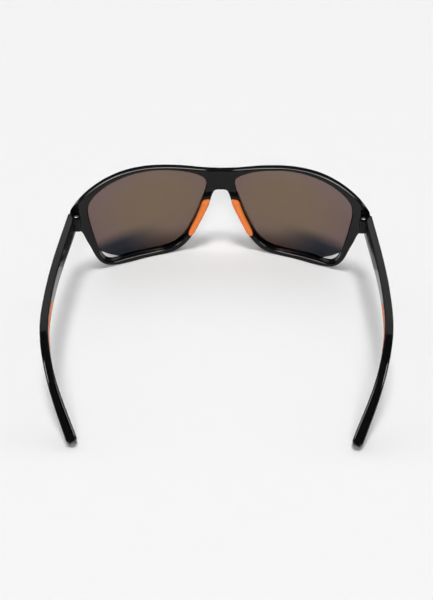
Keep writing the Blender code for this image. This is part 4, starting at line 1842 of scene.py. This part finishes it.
@dataclass
class Studio:
    """A plain white table under soft light, and the camera over the wearer's end."""

    azimuth: float = math.radians(1.48)
    elevation: float = math.radians(36.5)
    roll: float = math.radians(-0.42)
    distance: float = 476.5 * MM
    target: tuple[float, float, float] = (-0.66 * MM, 3.93 * MM, 14.68 * MM)
    lens: float = 64.33
    sensor: float = 36.0
    bright_from: float = math.radians(33.5)
    bright_to: float = math.radians(66.0)
    strip_size: tuple[float, float] = (0.52, 0.26)
    strip_place: tuple[float, float, float] = (0.51, -0.42, 0.99)
    strip_run: tuple[float, float, float] = (0.29, -0.03, -0.18)
    strip_power: float = 9.0
    overhead: tuple[float, float, float] = (0.0, -0.12, 1.0)
    overhead_power: float = 1.75
    overhead_spread: float = math.radians(18.0)
    fill_power: float = 1.0
    fill_spread: float = math.radians(14.0)
    glow: float = 0.95
    ambient: float = 0.08
    table_size: float = 6.0

    def table(self) -> None:
        """A wide white table top."""
        graph = ShaderGraph("white_table")
        grain = graph.noise(60.0, 3.0)
        graph.set(Base_Color=graph.mix(grain, (0.90, 0.90, 0.90), (0.91, 0.91, 0.91)), Roughness=0.75)
        bpy.ops.mesh.primitive_grid_add(size=self.table_size, x_subdivisions=2, y_subdivisions=2)
        top = bpy.context.active_object
        top.name = "table_top"
        top.data.materials.append(graph.material)
        top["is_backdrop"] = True

    def surroundings(self) -> None:
        """A bright wall ahead of the glasses that darkens overhead and behind the camera."""
        world = bpy.data.worlds.new("studio")
        bpy.context.scene.world = world
        world.use_nodes = True
        graph = Graph(world.node_tree)
        way = graph.out("ShaderNodeTexCoord", None, None, "Generated")
        _, forward, upward = graph.parts(way)
        under = forward * math.sin(self.bright_to) - upward * math.cos(self.bright_to)
        over = upward * math.cos(self.bright_from) - forward * math.sin(self.bright_from)
        wall = under.ramp(-0.03, 0.03) * over.ramp(-0.02, 0.02) * forward.ramp(0.05, 0.40)
        glow = wall * self.glow + self.ambient
        background = world.node_tree.nodes["Background"]
        graph.tree.links.new(glow.socket, background.inputs["Strength"])
        background.inputs["Color"].default_value = (1.0, 1.0, 1.0, 1.0)

    def lamps(self) -> None:
        """Two strip lights that only gloss shows, and two suns that light everything but gloss."""
        for side in Side:
            light = bpy.data.lights.new(f"key_{side.word}", "AREA")
            light.shape, light.size, light.size_y = "RECTANGLE", *self.strip_size
            light.energy = self.strip_power
            place, run = mirrored([Vector(self.strip_place), Vector(self.strip_run)], side)
            self.hang(light, place, run, gloss=True)
        behind = Vector((math.sin(self.azimuth), -math.cos(self.elevation), math.sin(self.elevation)))
        suns = (("overhead", Vector(self.overhead), self.overhead_power, self.overhead_spread),
                ("fill", behind, self.fill_power, self.fill_spread))
        for name, place, power, spread in suns:
            light = bpy.data.lights.new(name, "SUN")
            light.angle = spread
            light.energy = power
            self.hang(light, place, Vector((1, 0, 0)), gloss=False)

    @staticmethod
    def hang(light: bpy.types.Light, place: Vector, run: Vector, gloss: bool) -> None:
        """Hang a lamp and aim it at the glasses.

        Args:
            light: the light.
            place: where it hangs.
            run: the way its long side runs.
            gloss: whether it shows in gloss alone, and otherwise everywhere but there.
        """
        lamp = bpy.data.objects.new(light.name, light)
        back = place.normalized()
        along = (run - back * run.dot(back)).normalized()
        lamp.matrix_world = Matrix((along, back.cross(along), back)).transposed().to_4x4()
        lamp.location = place
        lamp.visible_glossy, lamp.visible_diffuse = gloss, not gloss
        bpy.context.scene.collection.objects.link(lamp)

    def camera(self) -> None:
        """The camera, aimed from the azimuth and elevation, with its small roll."""
        turn, rise = self.azimuth, self.elevation
        back = Vector((math.sin(turn) * math.cos(rise), -math.cos(turn) * math.cos(rise), math.sin(rise)))
        level = Vector((math.cos(turn), math.sin(turn), 0.0))
        upright = back.cross(level)
        right = level * math.cos(self.roll) + upright * math.sin(self.roll)
        up = upright * math.cos(self.roll) - level * math.sin(self.roll)
        data = bpy.data.cameras.new("camera")
        data.lens, data.sensor_width = self.lens, self.sensor
        data.clip_start, data.clip_end = 0.01, 20.0
        camera = bpy.data.objects.new("camera", data)
        place = Vector(self.target) + back * self.distance
        camera.matrix_world = Matrix((right, up, back)).transposed().to_4x4()
        camera.location = place
        bpy.context.scene.collection.objects.link(camera)
        bpy.context.scene.camera = camera

    def build(self) -> None:
        """Set up the whole studio."""
        self.table()
        self.surroundings()
        self.lamps()
        self.camera()
        bpy.context.scene.view_settings.view_transform = "Standard"


def corners(box: tuple[Vector, Vector]) -> list[list[float]]:
    """A box's lowest and highest corner as plain lists."""
    return [[float(number) for number in corner] for corner in box]


def main() -> None:
    """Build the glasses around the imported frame, then the studio."""
    logging.basicConfig(level=logging.INFO, format="%(message)s")
    for thing in list(bpy.data.objects):
        bpy.data.objects.remove(thing)
    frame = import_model()
    packed_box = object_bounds()
    plastic, coated, rubber = GlossyPlastic().build(), CoatedLens().build(), SoftRubber().build()
    steel, brass = STEEL.build(), BRASS.build()
    hinges = [Hinge.read(frame, side) for side in Side]
    outline, surface = EyeOutline(), FaceSurface()
    wrapping = surface.wrapping()
    lens = Lens(outline, surface)
    MouldedFront(outline, surface, hinges[1]).build(wrapping, plastic, lens.vent)
    cushion = NoseCushion(outline, surface)
    ribbing, threading, knurling = EarGrip.ribbing(), PivotScrew.threading(), ThreadedInsert.knurling()
    for hinge in hinges:
        lens.build(hinge.side, wrapping, coated)
        cushion.build(hinge.side, wrapping, rubber)
        screw, insert, arm = PivotScrew(hinge), ThreadedInsert(hinge), TempleArm(hinge)
        arm.build(screw, insert, plastic)
        EarGrip(arm).build(ribbing, rubber)
        screw.build(threading, steel)
        insert.build(knurling, brass)
    Studio().build()
    {"cad": corners(packed_box), "visual": corners(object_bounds())}


if __name__ == "__main__":
    main()
